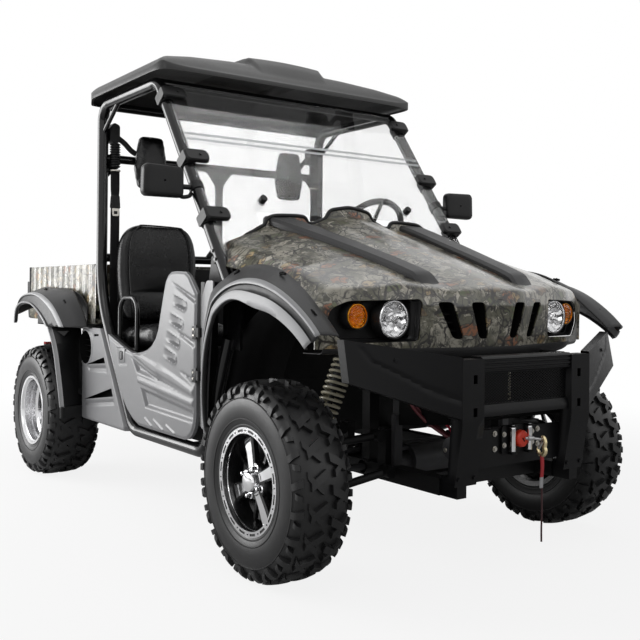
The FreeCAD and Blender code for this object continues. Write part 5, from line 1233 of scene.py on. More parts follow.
def slot_outline(foot, head, side, grow=0.0):
    """Outline of a grille slot, narrow at its foot and wider at its head."""
    return rounded([(side * (foot - 0.018 - grow), 0.750 - grow), (side * (foot + 0.021 + grow), 0.750 - grow),
                    (side * (head + 0.034 + grow), 0.866 + grow), (side * (head - 0.022 - grow), 0.866 + grow)], 0.016)


def hood_and_nose():
    """One printed moulding from the screen to the bumper, with grille slots, lamp openings and pillar notches."""
    places = list(np.linspace(0, 0.560, 72)) + [0.568, 0.577, 0.588, 0.598, 0.606, 0.611]
    half = [body_column(y) for y in places]
    other = [[(px, -py, pz) for px, py, pz in column] for column in reversed(half[1:])]
    form = Form()
    form.grid(other + half)
    shell = form.make("hood_and_nose", "chassis", ["camouflage"], sharp=40, wall=0.005, instead=["front_body"])
    tools = Form()
    for foot, head in SLOT_SPOTS:
        for side in (-1, 1):
            tools.front_plate(slot_outline(foot, head, side), 1.25, 0.2)
    for side in (-1, 1):
        outline = rounded([(side * py, pz) for py, pz in POD_EDGE], 0.016)
        tools.front_plate(outline, 1.13, 0.32)
        base = PILLAR_FOOT + Vector((0, side * PILLAR_Y, 0))
        tools.rod(base - PILLAR * 0.2, base + PILLAR * 0.4, 0.029, 0, 28)
    carve(shell, tools, "body_cutter")


EDGE_STEPS = (
    # place across and rise of the rubber trim over the hood's rear edge
    (0.000, 0.030), (0.060, 0.030), (0.095, 0.026), (0.118, 0.004), (0.150, 0.002), (0.175, 0.002), (0.200, 0.008),
    (0.222, 0.030), (0.300, 0.034), (0.378, 0.030), (0.396, 0.010), (0.425, 0.006), (0.440, 0.001), (0.470, -0.002),
    (0.485, -0.012), (0.520, -0.014), (0.535, -0.026), (0.560, -0.030),
)


def trimmed_edge():
    """Black rubber trim that steps along the hood's rear edge, with an apron under it."""
    form = Form()
    line = [Vector((y, rise, 0)) for y, rise in EDGE_STEPS]
    line = [Vector((-p.x, p.y, 0)) for p in reversed(line[1:])] + line
    spots = smooth_line(line, 4)
    heights = table_at(HOOD_ROWS, HOOD_ACROSS, np.full(len(spots), 0.592), np.array([p.x for p in spots]))
    edge = [Vector((0.586, p.x, z + p.y)) for p, z in zip(spots, heights)]
    form.swept(edge, 0.0075, spans=1, steps=12)
    form.grid([edge, [Vector((0.596, p.x, z - 0.004)) for p, z in zip(spots, heights)]], 1)
    form.make("hood_edge_trim", "chassis", ["black_plastic", "camouflage"], sharp=60)


hood_and_nose()
trimmed_edge()

STRIPS = (
    # x, inner and outer place across, height of the top
    (0.535, 0.240, 0.372, 1.178), (0.620, 0.253, 0.377, 1.162), (0.850, 0.222, 0.335, 1.094),
    (1.080, 0.196, 0.296, 1.022), (1.240, 0.178, 0.275, 0.968), (1.300, 0.168, 0.262, 0.938),
)


def hood_strips():
    """Two long raised mouldings that taper to the nose and dip at their front ends, with chamfered sides."""
    form = Form()
    for side in (-1, 1):
        rows = []
        for x, inner, outer, top in smooth_rows(STRIPS, 8):
            front = eased((1.300 - x) / 0.05)
            lift = top - 0.018 * (1 - front)
            rows.append([(x, side * py, pz) for py, pz in (
                (inner, lift - 0.030), (inner + 0.001, lift - 0.012), (inner + 0.012, lift - 0.001),
                (inner * 0.5 + outer * 0.5, lift + 0.001), (outer - 0.012, lift - 0.001),
                (outer - 0.001, lift - 0.012), (outer, lift - 0.030))])
        form.grid(rows)
        form.closed(rows[0])
        form.closed(rows[-1])
    form.make("hood_strip_mouldings", "chassis", ["flare_charcoal"], sharp=30, bevel=0.0015, instead=["hood_strips"])


hood_strips()


# Inner wings

def curved_sheet(form, centre, radius, start, end, low_y, high_y, side, number=0, steps=24):
    """A sheet bent round an arch, between two places across."""
    rows = []
    for k in range(steps + 1):
        swing = math.radians(start + (end - start) * k / steps)
        x, z = centre[0] + radius * math.cos(swing), centre[1] + radius * math.sin(swing)
        rows.append([(x, side * y, z) for y in (low_y, high_y)])
    form.grid(rows, number)


def inner_wings(side, label):
    """Black liner behind the front wheel, and the wall and shelf inside the rear moulding."""
    front = Form()
    curved_sheet(front, FRONT_CENTRE, 0.428, 100, 192, 0.330, 0.570, side)
    front.make("front_liner_" + label, "chassis", ["chassis_black"], sharp=40, wall=0.004)
    rear = Form()
    table = [Vector((row[0], row[1] - 0.003, 0)) for row in REAR_ARCH[:6]]
    edge = [(REAR_CENTRE[0] + p.y * math.cos(math.radians(p.x)), REAR_CENTRE[1] + p.y * math.sin(math.radians(p.x)))
            for p in smooth_line(table, 6)]
    edge = [(x, z) for x, z in edge if x < -0.604]
    foot = [(edge[0][0], 0.7105)] + edge + [(edge[-1][0], 0.7105)]
    rear.side_plate(foot, side, 0.607, 0.006)
    rear.block((edge[0][0], 0.2705, 0.7105), (edge[-1][0], 0.613, 0.7160), mirrored=side < 0)
    rear.make("rear_wing_" + label, "chassis", ["flare_charcoal"], sharp=35, instead=once("rear_fenders", side))


MUD_PANEL = (
    # height, then x at the lip and at the inner edge, and how far out the lip stands
    (0.7215, -0.742, -0.690, 0.752), (0.660, -0.690, -0.676, 0.751), (0.600, -0.655, -0.664, 0.750),
    (0.520, -0.628, -0.650, 0.748), (0.440, -0.610, -0.636, 0.744), (0.353, -0.600, -0.620, 0.738),
)


def mud_panel(side, label):
    """Black panel that carries the rear moulding's line down in front of the tyre, with a painted highlight along its
    edge.
    """
    form = Form()
    rows = []
    for height, lip, inner, out in smooth_rows(MUD_PANEL, 6):
        line = [(lip - 0.012, out - 0.001), (lip, out), (lip + 0.004, out - 0.012), (lip + 0.010, out - 0.016),
                (lip * 0.5 + inner * 0.5 + 0.014, out * 0.5 + 0.326), (inner + 0.004, 0.650), (inner, 0.640),
                (inner - 0.008, 0.606)]
        rows.append([(x, side * y, height) for x, y in line])
    # The three stretches by the lip get the pale painted highlight finish; the rest is black.
    numbers = (1, 1, 1, 0, 0, 0, 0)
    for near, far in zip(rows, rows[1:]):
        for j, number in enumerate(numbers):
            form.add([near[j], near[j + 1], far[j + 1], far[j]], [(0, 1, 2, 3)], number)
    form.make("mud_panel_" + label, "chassis", ["black_plastic", "flare_painted_highlight"], sharp=40, wall=0.004,
              offset=side)
    ledge = Form()
    shelf = rounded([(-0.742, 0.7515), (-0.745, 0.609), (-0.486, 0.609), (-0.486, 0.646), (-0.640, 0.690)], 0.012)
    ledge.plate([(x, side * y, 0.7180) for x, y in shelf], (0, 0, 0.0060))
    ledge.plate([(-0.706, side * 0.712, 0.700), (-0.660, side * 0.672, 0.702), (-0.676, side * 0.690, 0.676)],
                (0.012, side * 0.010, 0))
    foot = rounded([(-0.640, 0.612), (-0.600, 0.612), (-0.590, 0.735), (-0.612, 0.740)], 0.010)
    ledge.plate([(x, side * y, 0.3050) for x, y in foot], (0, 0, 0.050), 0, crown=(0.94, 0.003))
    ledge.make("mud_ledge_" + label, "chassis", ["black_plastic"], sharp=35, bevel=0.002)


for side, label in SIDES:
    inner_wings(side, label)
    mud_panel(side, label)


# Nose fittings

def nose_reach(y, z):
    """How far forward the nose stands at a place across and a height."""
    return table_at(NOSE_ROWS, NOSE_ACROSS, [z], np.array([min(abs(y), 0.600)]))[0]


def grille():
    """Deep black pockets behind the nose's slots, with slanted vanes and a dark rear wall."""
    form = Form()
    for foot, head in SLOT_SPOTS:
        for side in (-1, 1):
            outline = slot_outline(foot, head, side, 0.0015)
            front = [(nose_reach(y, z) - 0.0055, y, z) for y, z in outline]
            back = [(1.305, y, z) for y, z in outline]
            form.grid([front, back], round_way=True)
            for k in (1, 2, 3):
                z = 0.752 + 0.0265 * k
                middle = side * (foot + (head - foot) * (z - 0.752) / 0.106)
                form.plate([(1.310, middle - 0.019, z), (1.336, middle - 0.019, z - 0.006),
                            (1.336, middle + 0.019, z - 0.006), (1.310, middle + 0.019, z)], (0, 0, 0.003))
    form.block((1.300, -0.262, 0.738), (1.306, 0.262, 0.872))
    form.make("grille_pockets", "chassis", ["slot_black"], sharp=40)


def nose_disc():
    """Plain round boss on the hood's front edge, with a rim round it."""
    form = Form()
    axis = Vector((0.80, 0, 0.60)).normalized()
    centre = Vector((1.3655, 0, 0.8935))
    form.turned([(-0.008, 0.0285), (0.0035, 0.0280), (0.0048, 0.0265), (0.0048, 0.0240), (0.0030, 0.0225),
                 (0.0026, 0.0100), (0.0030, 0.0002)], centre, axis, 48)
    form.make("nose_disc", "chassis", ["camouflage"], sharp=30)


def valance():
    """Black moulded strip that closes the nose's lower edge."""
    form = Form()
    rows = []
    for y in np.linspace(-0.585, 0.585, 61):
        front = nose_reach(y, 0.725) - 0.004
        drop = 0.016 * eased((0.50 - abs(y)) / 0.12)
        rows.append([(front - 0.030, y, 0.7300), (front, y, 0.7300), (front + 0.002, y, 0.7200),
                     (front - 0.004, y, 0.7120 - drop), (front - 0.014, y, 0.7090 - drop),
                     (front - 0.100, y, 0.7070 - drop)])
    form.grid(rows)
    form.make("nose_valance", "chassis", ["black_plastic"], sharp=35, wall=0.003, offset=1.0)


def lamp_pod(side, label):
    """Black recess with a raised lip, clear lamp with a faceted mirror, and an amber lamp outboard."""
    form = Form()
    outline = rounded([(side * y, z) for y, z in POD_EDGE], 0.016, 6)
    middle = Vector((sum(p[0] for p in outline) / len(outline), sum(p[1] for p in outline) / len(outline)))
    rings = []
    for shrink, share, back in POD_RINGS:
        ring = []
        for y, z in outline:
            spot = Vector((y, z))
            spot += (middle - spot).normalized() * shrink
            spot = spot.lerp(middle, share)
            ring.append((nose_reach(spot.x, spot.y) - 0.005 - back, spot.x, spot.y))
        rings.append(ring)
    form.grid(rings, round_way=True)
    lamps = ((side * 0.371, 0.813, 0.0580, 1.296), (side * 0.482, 0.822, 0.0380, 1.256))
    for y, z, radius, front in lamps:
        form.turned([(-0.040, radius + 0.005), (-0.006, radius + 0.0045), (-0.002, radius + 0.003),
                     (-0.004, radius + 0.0005), (-0.030, radius)], (front, y, z), AHEAD, 56)
    form.make("lamp_pod_" + label, "chassis", ["black_plastic"], sharp=40, instead=once("lamp_bezels", side))
    for (y, z, radius, front), name, mirror, glass, node in (
            (lamps[0], "headlamp", "lamp_silver", "lens_clear", "headlamps"),
            (lamps[1], "signal_lamp", "amber_mirror", "lens_amber", "turn_signals")):
        bowl = Form()
        steps, bands = 28, 5
        rows = []
        for i in range(bands + 1):
            share = i / bands
            reach = radius * (0.96 - 0.80 * share)
            depth = 0.008 + 0.034 * (1 - (reach / radius) ** 2)
            row = []
            for k in range(steps):
                swing = 2 * math.pi * (k + 0.5 * (i % 2)) / steps
                ripple = 0.0055 * (k % 2) * (1 - share * 0.6)
                row.append((front - depth - ripple, y + reach * math.sin(swing), z + reach * math.cos(swing)))
            rows.append(row)
        bowl.grid(rows, 0, round_way=True)
        bowl.turned([(-0.034, radius * 0.17), (-0.024, radius * 0.17), (-0.016, radius * 0.13), (-0.013, 0.0002)],
                    (front, y, z), AHEAD, 24)
        bowl.turned([(-0.008, radius * 0.96), (-0.003, radius * 0.985), (-0.001, radius * 0.96),
                     (-0.001, radius * 0.93)], (front, y, z), AHEAD, 56)
        bowl.make(name + "_mirror_" + label, "chassis", [mirror], sharp=8)
        lens = Form()
        lens.turned([(-0.006, radius * 0.955), (-0.002, radius * 0.93), (0.0, radius * 0.84), (0.0, radius * 0.60),
                     (0.0, radius * 0.30), (0.0, 0.0002)], (front, y, z), AHEAD, 56)
        lens.make(name + "_lens_" + label, "chassis", [glass], sharp=60, wall=0.002, instead=once(node, side))


grille()
nose_disc()
valance()
for side, label in SIDES:
    lamp_pod(side, label)


# Bumper

WING = (
    # x, z at the foot and at the head of a bumper wing, then its place across
    (1.506, 0.525, 1.506, 0.706, 0.288), (1.372, 0.636, 1.346, 0.758, 0.604),
)
WING_RIB = ((0.02, 0.30), (0.30, 0.34), (0.78, 0.62), (0.86, 0.86))


def wing(form, side):
    """Folded wing with a pressed rib and returned edges."""
    (x0, z0, x1, z1, y0), (x2, z2, x3, z3, y1) = WING
    rows = []
    long, tall = 44, 20
    out = Vector((0.905, side * 0.425, 0.10)).normalized()
    for i in range(long + 1):
        u = i / long
        row = []
        for j in range(tall + 1):
            v = j / tall
            low = Vector((x0 + (x2 - x0) * u, side * (y0 + (y1 - y0) * u), z0 + (z2 - z0) * u))
            high = Vector((x1 + (x3 - x1) * u, side * (y0 + (y1 - y0) * u), z1 + (z3 - z1) * u))
            near = 9.0
            for (a, b), (c, d) in zip(WING_RIB, WING_RIB[1:]):
                t = ((u - a) * (c - a) + (v - b) * (d - b)) / ((c - a) ** 2 + (d - b) ** 2)
                t = max(0, min(1, t))
                near = min(near, math.hypot((u - a - (c - a) * t) * 0.34, (v - b - (d - b) * t) * 0.15))
            row.append(low.lerp(high, v) - out * (0.0035 * math.exp(-(near / 0.006) ** 2) + 0.0006))
        rows.append(row)
    form.grid(rows)
    back = Vector((-0.034, 0, 0))
    for line in (rows[-1], [row[0] for row in rows], [row[-1] for row in rows]):
        form.grid([line, [p + back for p in line]])
    form.grid([[p + back for p in rows[0]], [p + back for p in rows[-1]]])


def bumper():
    """Upper beam with three grooves, lower lip, two slotted posts, wings and the winch's mounting plate."""
    form = Form()
    profile = [(1.4525, 0.6565), (1.4960, 0.6565), (1.5005, 0.6600)]
    for z in (0.6675, 0.6805, 0.6935):
        profile += [(1.5020, z - 0.0040), (1.4985, z - 0.0020), (1.4985, z + 0.0020), (1.5020, z + 0.0040)]
    profile += [(1.4985, 0.7020), (1.4930, 0.7055), (1.4525, 0.7055)]
    form.plate([(x, -0.203, z) for x, z in profile], (0, 0.406, 0))
    form.plate([(x, -0.299, z) for x, z in ((1.4555, 0.5245), (1.4940, 0.5245), (1.4948, 0.5400), (1.4880, 0.5595),
                                            (1.4555, 0.5595))], (0, 0.598, 0))
    for side in (-1, 1):
        fronts = ((0.3225, 1.4745), (0.5000, 1.5055), (0.6995, 1.5055))
        zs = [0.3225, 0.36, 0.42, 0.46, 0.50, 0.530, 0.556, 0.58, 0.60, 0.627, 0.653, 0.67, 0.6995]
        xs = [float(np.interp(z, [f[0] for f in fronts], [f[1] for f in fronts])) for z in zs]
        ys = [0.2000, 0.2290, 0.2450, 0.2900]
        for i in range(len(zs) - 1):
            for j in range(3):
                if j == 1 and (zs[i], zs[i + 1]) in ((0.530, 0.556), (0.627, 0.653)):
                    hole = [(xs[i], ys[1], zs[i]), (xs[i], ys[2], zs[i]), (xs[i + 1], ys[2], zs[i + 1]),
                            (xs[i + 1], ys[1], zs[i + 1])]
                    form.grid([[(x, side * y, z) for x, y, z in hole],
                               [(x - 0.006, side * y, z) for x, y, z in hole]], round_way=True)
                    continue
                form.add([(xs[i], ys[j], zs[i]), (xs[i], ys[j + 1], zs[i]), (xs[i + 1], ys[j + 1], zs[i + 1]),
                          (xs[i + 1], ys[j], zs[i + 1])], [(0, 1, 2, 3)], 0, side < 0)
        edge = [(1.4745, 0.3225), (1.5055, 0.5000), (1.5055, 0.6995), (1.4570, 0.6995), (1.4570, 0.5000),
                (1.4420, 0.3225)]
        for y in (0.2000, 0.2900):
            form.closed([(x, side * y, z) for x, z in edge])
        form.grid([[(x, side * y, z) for x, z in edge[2:] + edge[:1]] for y in (0.2000, 0.2900)])
        form.block((1.4003, 0.2355, 0.2853), (1.4697, 0.2745, 0.3447), 0, side < 0)
        wing(form, side)
        for y, z in ((0.213, 0.345), (0.277, 0.345)):
            bolt(form, (1.4775, side * y, z), (1, 0, -0.17), 0.0075)
        bolt(form, (1.4180, side * 0.470, 0.700), (0.9, side * 0.42, 0.1), 0.0060)
    form.block((1.4460, -0.2395, 0.3615), (1.4520, 0.2395, 0.4760))
    form.make("bumper_shell", "chassis", ["bumper_black"], sharp=28, bevel=0.0028, instead=["bumper"])
    plate_bolts = Form()
    for y in (-0.098, 0.098):
        for z in (0.415, 0.462):
            bolt(plate_bolts, (1.4525, y, z), (1, 0, 0), 0.0068)
    plate_bolts.make("winch_plate_bolts", "chassis", ["plated_steel"], sharp=30)


def expanded_mesh():
    """Diamond lattice of flattened strands in a narrow frame."""
    form = Form()
    half_y, low, high = 0.198, 0.5615, 0.6545
    pitch, thick = 0.0135, 0.0011
    slope = 0.62
    reach = (high - low) / slope
    count = int((2 * half_y + reach) / pitch)
    for lean in (-1, 1):
        for k in range(count + 1):
            ya = -half_y - reach + pitch * k if lean > 0 else -half_y + pitch * k
            yb = ya + lean * (high - low) / slope
            za, zb = low, high
            parts = [(bound - ya) / (yb - ya) for bound in (-half_y, half_y)]
            t0, t1 = max(0.0, min(parts)), min(1.0, max(parts))
            if t1 - t0 < 0.03:
                continue
            a = Vector((0, ya + (yb - ya) * t0, za + (zb - za) * t0))
            b = Vector((0, ya + (yb - ya) * t1, za + (zb - za) * t1))
            across = Vector((0, -(b - a).z, (b - a).y)).normalized() * thick
            x = 1.4818 + lean * 0.0005
            form.front_plate([p[1:] for p in (a + across, b + across, b - across, a - across)], x, 0.0012)
    for z in (low, high):
        form.block((1.4803, -0.1985, z - 0.001), (1.4838, 0.1985, z + 0.001))
    form.make("bumper_lattice", "chassis", ["bumper_black"], sharp=30, instead=["bumper_mesh"], weld=0)


def radiator_duct():
    """Black cheeks and floor that lead from the bumper's mesh to the radiator."""
    form = Form()
    for side in (-1, 1):
        form.closed([(1.195, side * 0.262, 0.470), (1.425, side * 0.262, 0.500), (1.425, side * 0.262, 0.702),
                     (1.195, side * 0.262, 0.702)])
    form.closed([(1.195, -0.262, 0.470), (1.425, -0.262, 0.500), (1.425, 0.262, 0.500), (1.195, 0.262, 0.470)])
    form.make("radiator_duct", "chassis", ["slot_black"], sharp=30, wall=0.003, offset=0.0)


bumper()
expanded_mesh()
radiator_duct()


# Winch

def winch():
    """Motor with its round cover, cable drum, gear case, tie rods and base plate."""
    form = Form()
    spot = Vector((1.390, 0, 0.420))
    form.turned([(-0.2285, 0.0002), (-0.2285, 0.029), (-0.2265, 0.033), (-0.2180, 0.0365), (-0.2120, 0.0378),
                 (-0.2110, 0.0360), (-0.2090, 0.0360), (-0.2080, 0.0378), (-0.1300, 0.0378), (-0.1285, 0.0370),
                 (-0.1275, 0.0440), (-0.1100, 0.0448), (-0.1090, 0.0200)], spot, ACROSS, 56)
    for k in range(8):
        swing = 2 * math.pi * (k + 0.5) / 8
        way = Vector((math.cos(swing), 0, math.sin(swing)))
        form.rod(spot + way * 0.0355 + Vector((0, -0.206, 0)), spot + way * 0.0355 + Vector((0, -0.131, 0)),
                 0.0032, 0, 8)
    form.turned([(0.1110, 0.0200), (0.1110, 0.0448), (0.1290, 0.0448), (0.1300, 0.0480), (0.1340, 0.0498),
                 (0.1600, 0.0498), (0.1640, 0.0480), (0.1860, 0.0430), (0.1888, 0.0380), (0.1888, 0.0002)],
                spot, ACROSS, 56)
    for swing in turns(6):
        way = Vector((math.cos(swing), 0, math.sin(swing)))
        bolt(form, spot + way * 0.038 + Vector((0, 0.1600, 0)), (0, -1, 0), 0.0045, 2)
    for z in (0.372, 0.462):
        form.rod((1.372, -0.120, z), (1.372, 0.120, z), 0.0055, 0, 14)
    form.block((1.3470, -0.0995, 0.3622), (1.4450, 0.0995, 0.3700))
    for reach in (-0.022, 0.022):
        bolt(form, (1.390 + reach * 0.85, -0.2287, 0.420 + reach * 0.35), (0, -1, 0), 0.0056, 2, 0.0035)
    form.rod((1.390, -0.2283, 0.420), (1.390, -0.2300, 0.420), 0.010, 0, 24)
    winding = []
    wraps, steps = 9, 32
    for k in range(wraps * steps + 1):
        swing = 2 * math.pi * k / steps
        along = -0.100 + 0.200 * k / (wraps * steps)
        winding.append((1.390 + 0.0400 * math.cos(swing), along, 0.420 + 0.0400 * math.sin(swing)))
    form.turned([(-0.108, 0.0350), (0.108, 0.0350)], spot, ACROSS, 48, 1)
    rope = Form()
    rope.swept(winding, 0.0046, 0, steps=6, spans=1)
    rope.make("winch_rope", "chassis", ["tail_dark"], sharp=60)
    form.make("winch_body", "chassis", ["cast_grey", "chassis_black", "plated_steel"], sharp=32, instead=["winch"])
    leads = Form()
    leads.swept([(1.385, -0.205, 0.456), (1.372, -0.212, 0.478), (1.350, -0.222, 0.505), (1.325, -0.228, 0.535),
                 (1.300, -0.225, 0.560)], 0.0042, 0, steps=10)
    leads.swept([(1.372, -0.200, 0.450), (1.345, -0.222, 0.470), (1.310, -0.250, 0.505), (1.275, -0.272, 0.545),
                 (1.255, -0.275, 0.580)], 0.0062, 1, steps=10)
    leads.swept([(1.380, -0.214, 0.448), (1.350, -0.234, 0.468), (1.315, -0.262, 0.500), (1.285, -0.284, 0.540),
                 (1.262, -0.286, 0.576)], 0.0062, 1, steps=10)
    leads.make("winch_leads", "chassis", ["cable_red", "cable_dark"], sharp=60)


def roller_guide():
    """Roller guide: two bright upright rollers with capped pins, and the red rubber stop with its slot."""
    form = Form()
    outline = rounded([(-0.0745, 0.3965), (0.0745, 0.3965), (0.0745, 0.4855), (-0.0745, 0.4855)], 0.012)
    form.front_plate(outline, 1.4525, 0.0075)
    for side in (-1, 1):
        y = side * 0.038
        form.turned([(0.004, 0.0075), (0.005, 0.0085), (0.009, 0.0090), (0.075, 0.0090), (0.079, 0.0085),
                     (0.080, 0.0075)], (1.4720, y, 0.400), UP, 32, 1)
        for low in (0.3963, 0.4803):
            form.plate([(1.4595, y - 0.0108, low), (1.4800, y - 0.0108, low), (1.4825, y - 0.006, low),
                        (1.4825, y + 0.006, low), (1.4800, y + 0.0108, low), (1.4595, y + 0.0108, low)],
                       (0, 0, 0.0054))
        form.rod((1.4720, y, 0.4855), (1.4720, y, 0.4868), 0.0062, 1, 20)
        for z in (0.424, 0.458):
            bolt(form, (1.4600, side * 0.064, z), (1, 0, 0), 0.0062, 2)
    form.make("guide_rollers", "chassis", ["bumper_black", "chrome", "plated_steel"], sharp=32)
    stop = Form()
    rows = []
    for along, size in ((0.0, 0.86), (0.002, 0.96), (0.006, 1.0), (0.016, 1.0), (0.021, 0.95), (0.0245, 0.82),
                        (0.0250, 0.45)):
        rows.append([(1.4590 + along, 0.0235 * size * math.sin(a), 0.4420 + 0.0268 * size * math.cos(a))
                     for a in turns(40)])
    stop.grid(rows, 0, round_way=True)
    stop.closed(rows[-1])
    dark = rounded([(-0.010, 0.4440), (0.001, 0.4320), (0.004, 0.4350), (-0.005, 0.4475)], 0.003)
    stop.front_plate(dark, 1.4838, 0.0005, 1)
    stop.make("rope_stop", "chassis", ["stop_red", "slot_black"], sharp=40, instead=["fairlead"])


def hook_and_strap():
    """Forged hook with its latch, the eye of the rope and the folded red pull strap."""
    form = Form()
    form.swept([(1.4850, 0.004, 0.4440), (1.4930, 0.022, 0.4430), (1.5000, 0.042, 0.4405), (1.5035, 0.056, 0.4380)],
               0.0042, 1, steps=12)
    form.turned([(0.0, 0.0002), (0.0, 0.0070), (0.006, 0.0078), (0.020, 0.0060), (0.022, 0.0045)],
                (1.4890, 0.012, 0.4437), (0.30, 0.95, -0.06), 20, 1)
    bend = [(1.5040, 0.060, 0.4475), (1.5120, 0.060, 0.4430), (1.5165, 0.060, 0.4300), (1.5140, 0.060, 0.4150),
            (1.5170, 0.060, 0.4040), (1.5120, 0.060, 0.3930), (1.5020, 0.060, 0.3895), (1.4920, 0.060, 0.3940),
            (1.4870, 0.060, 0.4040), (1.4885, 0.060, 0.4130)]
    line = smooth_line(bend, 5)
    rows = []
    for i, spot in enumerate(line):
        share = i / (len(line) - 1)
        ahead = (line[min(i + 1, len(line) - 1)] - line[max(i - 1, 0)]).normalized()
        side = Vector(ACROSS)
        other = ahead.cross(side)
        size = 0.0050 + 0.0026 * math.sin(share * math.pi) ** 0.7 - 0.0028 * max(share - 0.85, 0) / 0.15
        rows.append([spot + side * math.cos(a) * size * 0.85 + other * math.sin(a) * size
                     for a in turns(14)])
    form.grid(rows, 0, round_way=True)
    form.closed(rows[0], back=True)
    form.closed(rows[-1])
    form.plate([(1.5035, 0.0560, 0.4330), (1.5085, 0.0560, 0.4310), (1.4925, 0.0560, 0.4055), (1.4890, 0.0560, 0.4090)],
               (0, 0.008, 0), 2)
    form.rod((1.5060, 0.0532, 0.4400), (1.5060, 0.0668, 0.4400), 0.0052, 2, 16)
    form.make("forged_hook", "chassis", ["zinc", "bar_grey", "plated_steel"], sharp=40, instead=["winch_hook"])
    strap = Form()
    for shift, wide in ((-0.0009, 0.0072), (0.0009, 0.0066)):
        rows = []
        for k in range(25):
            share = k / 24
            z = 0.3880 - 0.1025 * share
            sway = 0.0016 * math.sin(share * 5.0)
            half = wide * (1.0 + 0.04 * math.sin(share * 9))
            rows.append([(1.5040 + shift + sway * 0.4, 0.060 + sway + s * half, z) for s in (-1, -0.5, 0, 0.5, 1)])
        strap.grid(rows[:17], 0)
        strap.grid(rows[16:], 1)
    strap.make("red_pull_strap", "chassis", ["strap_red", "strap_grey"], sharp=60, wall=0.0012, offset=0.0,
               instead=["pull_strap"])


winch()
roller_guide()
hook_and_strap()


# Springs and dampers

COIL_RADIUS = 0.0345
DAMPERS = (
    # upper eye, lower eye
    ((1.035, 0.350, 0.694), (1.020, 0.455, 0.432)), ((-0.920, 0.350, 0.674), (-0.910, 0.455, 0.432)),
)


def damper(form, head, foot, coils=11):
    """Coil spring between two seats, round a damper body and its rod."""
    head, foot = Vector(head), Vector(foot)
    axis = (foot - head).normalized()
    length = (foot - head).length
    base = turned_about(axis)
    ends = ((0.0, 0.0002), (0.0, 0.014), (0.020, 0.016), (0.022, 0.036), (0.030, 0.037), (0.034, 0.024),
            (length * 0.45, 0.024), (length * 0.45, 0.009), (length - 0.055, 0.009), (length - 0.050, 0.030),
            (length - 0.038, 0.037), (length - 0.030, 0.037), (length - 0.026, 0.016), (length, 0.014),
            (length, 0.0002))
    form.turned(ends, head, axis, 28, 1)
    coil = []
    steps = coils * 20
    for k in range(steps + 1):
        share = k / steps
        swing = 2 * math.pi * coils * share
        along = 0.030 + (length - 0.072) * share
        coil.append(head + axis * along + base @ Vector((math.cos(swing), math.sin(swing), 0)) * COIL_RADIUS)
    form.swept(coil, 0.0048, 0, steps=8, spans=1)


springs = Form()
for head, foot in DAMPERS:
    for side in (-1, 1):
        damper(springs, (head[0], side * head[1], head[2]), (foot[0], side * foot[1], foot[2]))
springs.make("coil_dampers", "chassis", ["spring_cream", "chassis_black"], sharp=40, instead=["shock_absorbers"])


# Screen and cage fittings

def on_pillar(height, y, out=0.0, along=0.0):
    """Spot beside the front pillar's middle line at a height."""
    share = (height - PILLAR_FOOT.z) / (PILLAR_HEAD.z - PILLAR_FOOT.z)
    spot = PILLAR_FOOT.lerp(PILLAR_HEAD, share) + PILLAR_OUT * out + PILLAR * along
    return Vector((spot.x, y, spot.z))


def screen_clamps():
    """Black moulded clamps that hold the screen to the pillars, and two knobs on the screen."""
    form = Form()
    for side in (-1, 1):
        for height in (1.647, 1.377, 1.150):
            outline = rounded([(-0.0275, 0.528), (0.0275, 0.528), (0.0275, 0.631), (-0.0275, 0.631)], 0.020, 6)
            form.plate([on_pillar(height, side * y, 0.0298, along) for along, y in outline], PILLAR_OUT * 0.015,
                       0, crown=(0.86, 0.0046))
            form.turned([(-0.024, 0.0240), (-0.024, 0.0272), (-0.021, 0.0290), (0.021, 0.0290), (0.024, 0.0272),
                         (0.024, 0.0240)], on_pillar(height, side * PILLAR_Y), PILLAR, 40, 0)
            strap = rounded([(-0.022, -0.021), (0.022, -0.021), (0.022, 0.044), (-0.022, 0.044)], 0.008)
            form.plate([on_pillar(height, side * 0.6245, out, along) for along, out in strap], (0, side * 0.007, 0), 0)
            bolt(form, on_pillar(height, side * 0.566, 0.0490), PILLAR_OUT, 0.0060)
        knob = on_pillar(1.213, side * 0.361, 0.0298)
        form.turned([(0.0, 0.0170), (0.004, 0.0172), (0.005, 0.0160)], knob, PILLAR_OUT, 32, 1)
        form.turned([(0.004, 0.0140), (0.006, 0.0148), (0.027, 0.0148), (0.0296, 0.0130), (0.0298, 0.0002)],
                    knob, PILLAR_OUT, 32, 0)
    form.make("screen_clamp_blocks", "chassis", ["black_plastic", "bar_grey"], sharp=30, bevel=0.0015,
              instead=["windshield_clamps"])
    joint = Form()
    for along in (-0.014, 0.014):
        near = on_pillar(1.466, 0, 0.0297, along - 0.0045)
        joint.plate([near + Vector((0, -0.590, 0)), near + Vector((0, 0.590, 0)),
                     near + Vector((0, 0.590, 0)) + PILLAR * 0.009, near + Vector((0, -0.590, 0)) + PILLAR * 0.009],
                    PILLAR_OUT * 0.0035, 0)
    joint.make("screen_joint_bars", "chassis", ["screen_joint"], sharp=30)


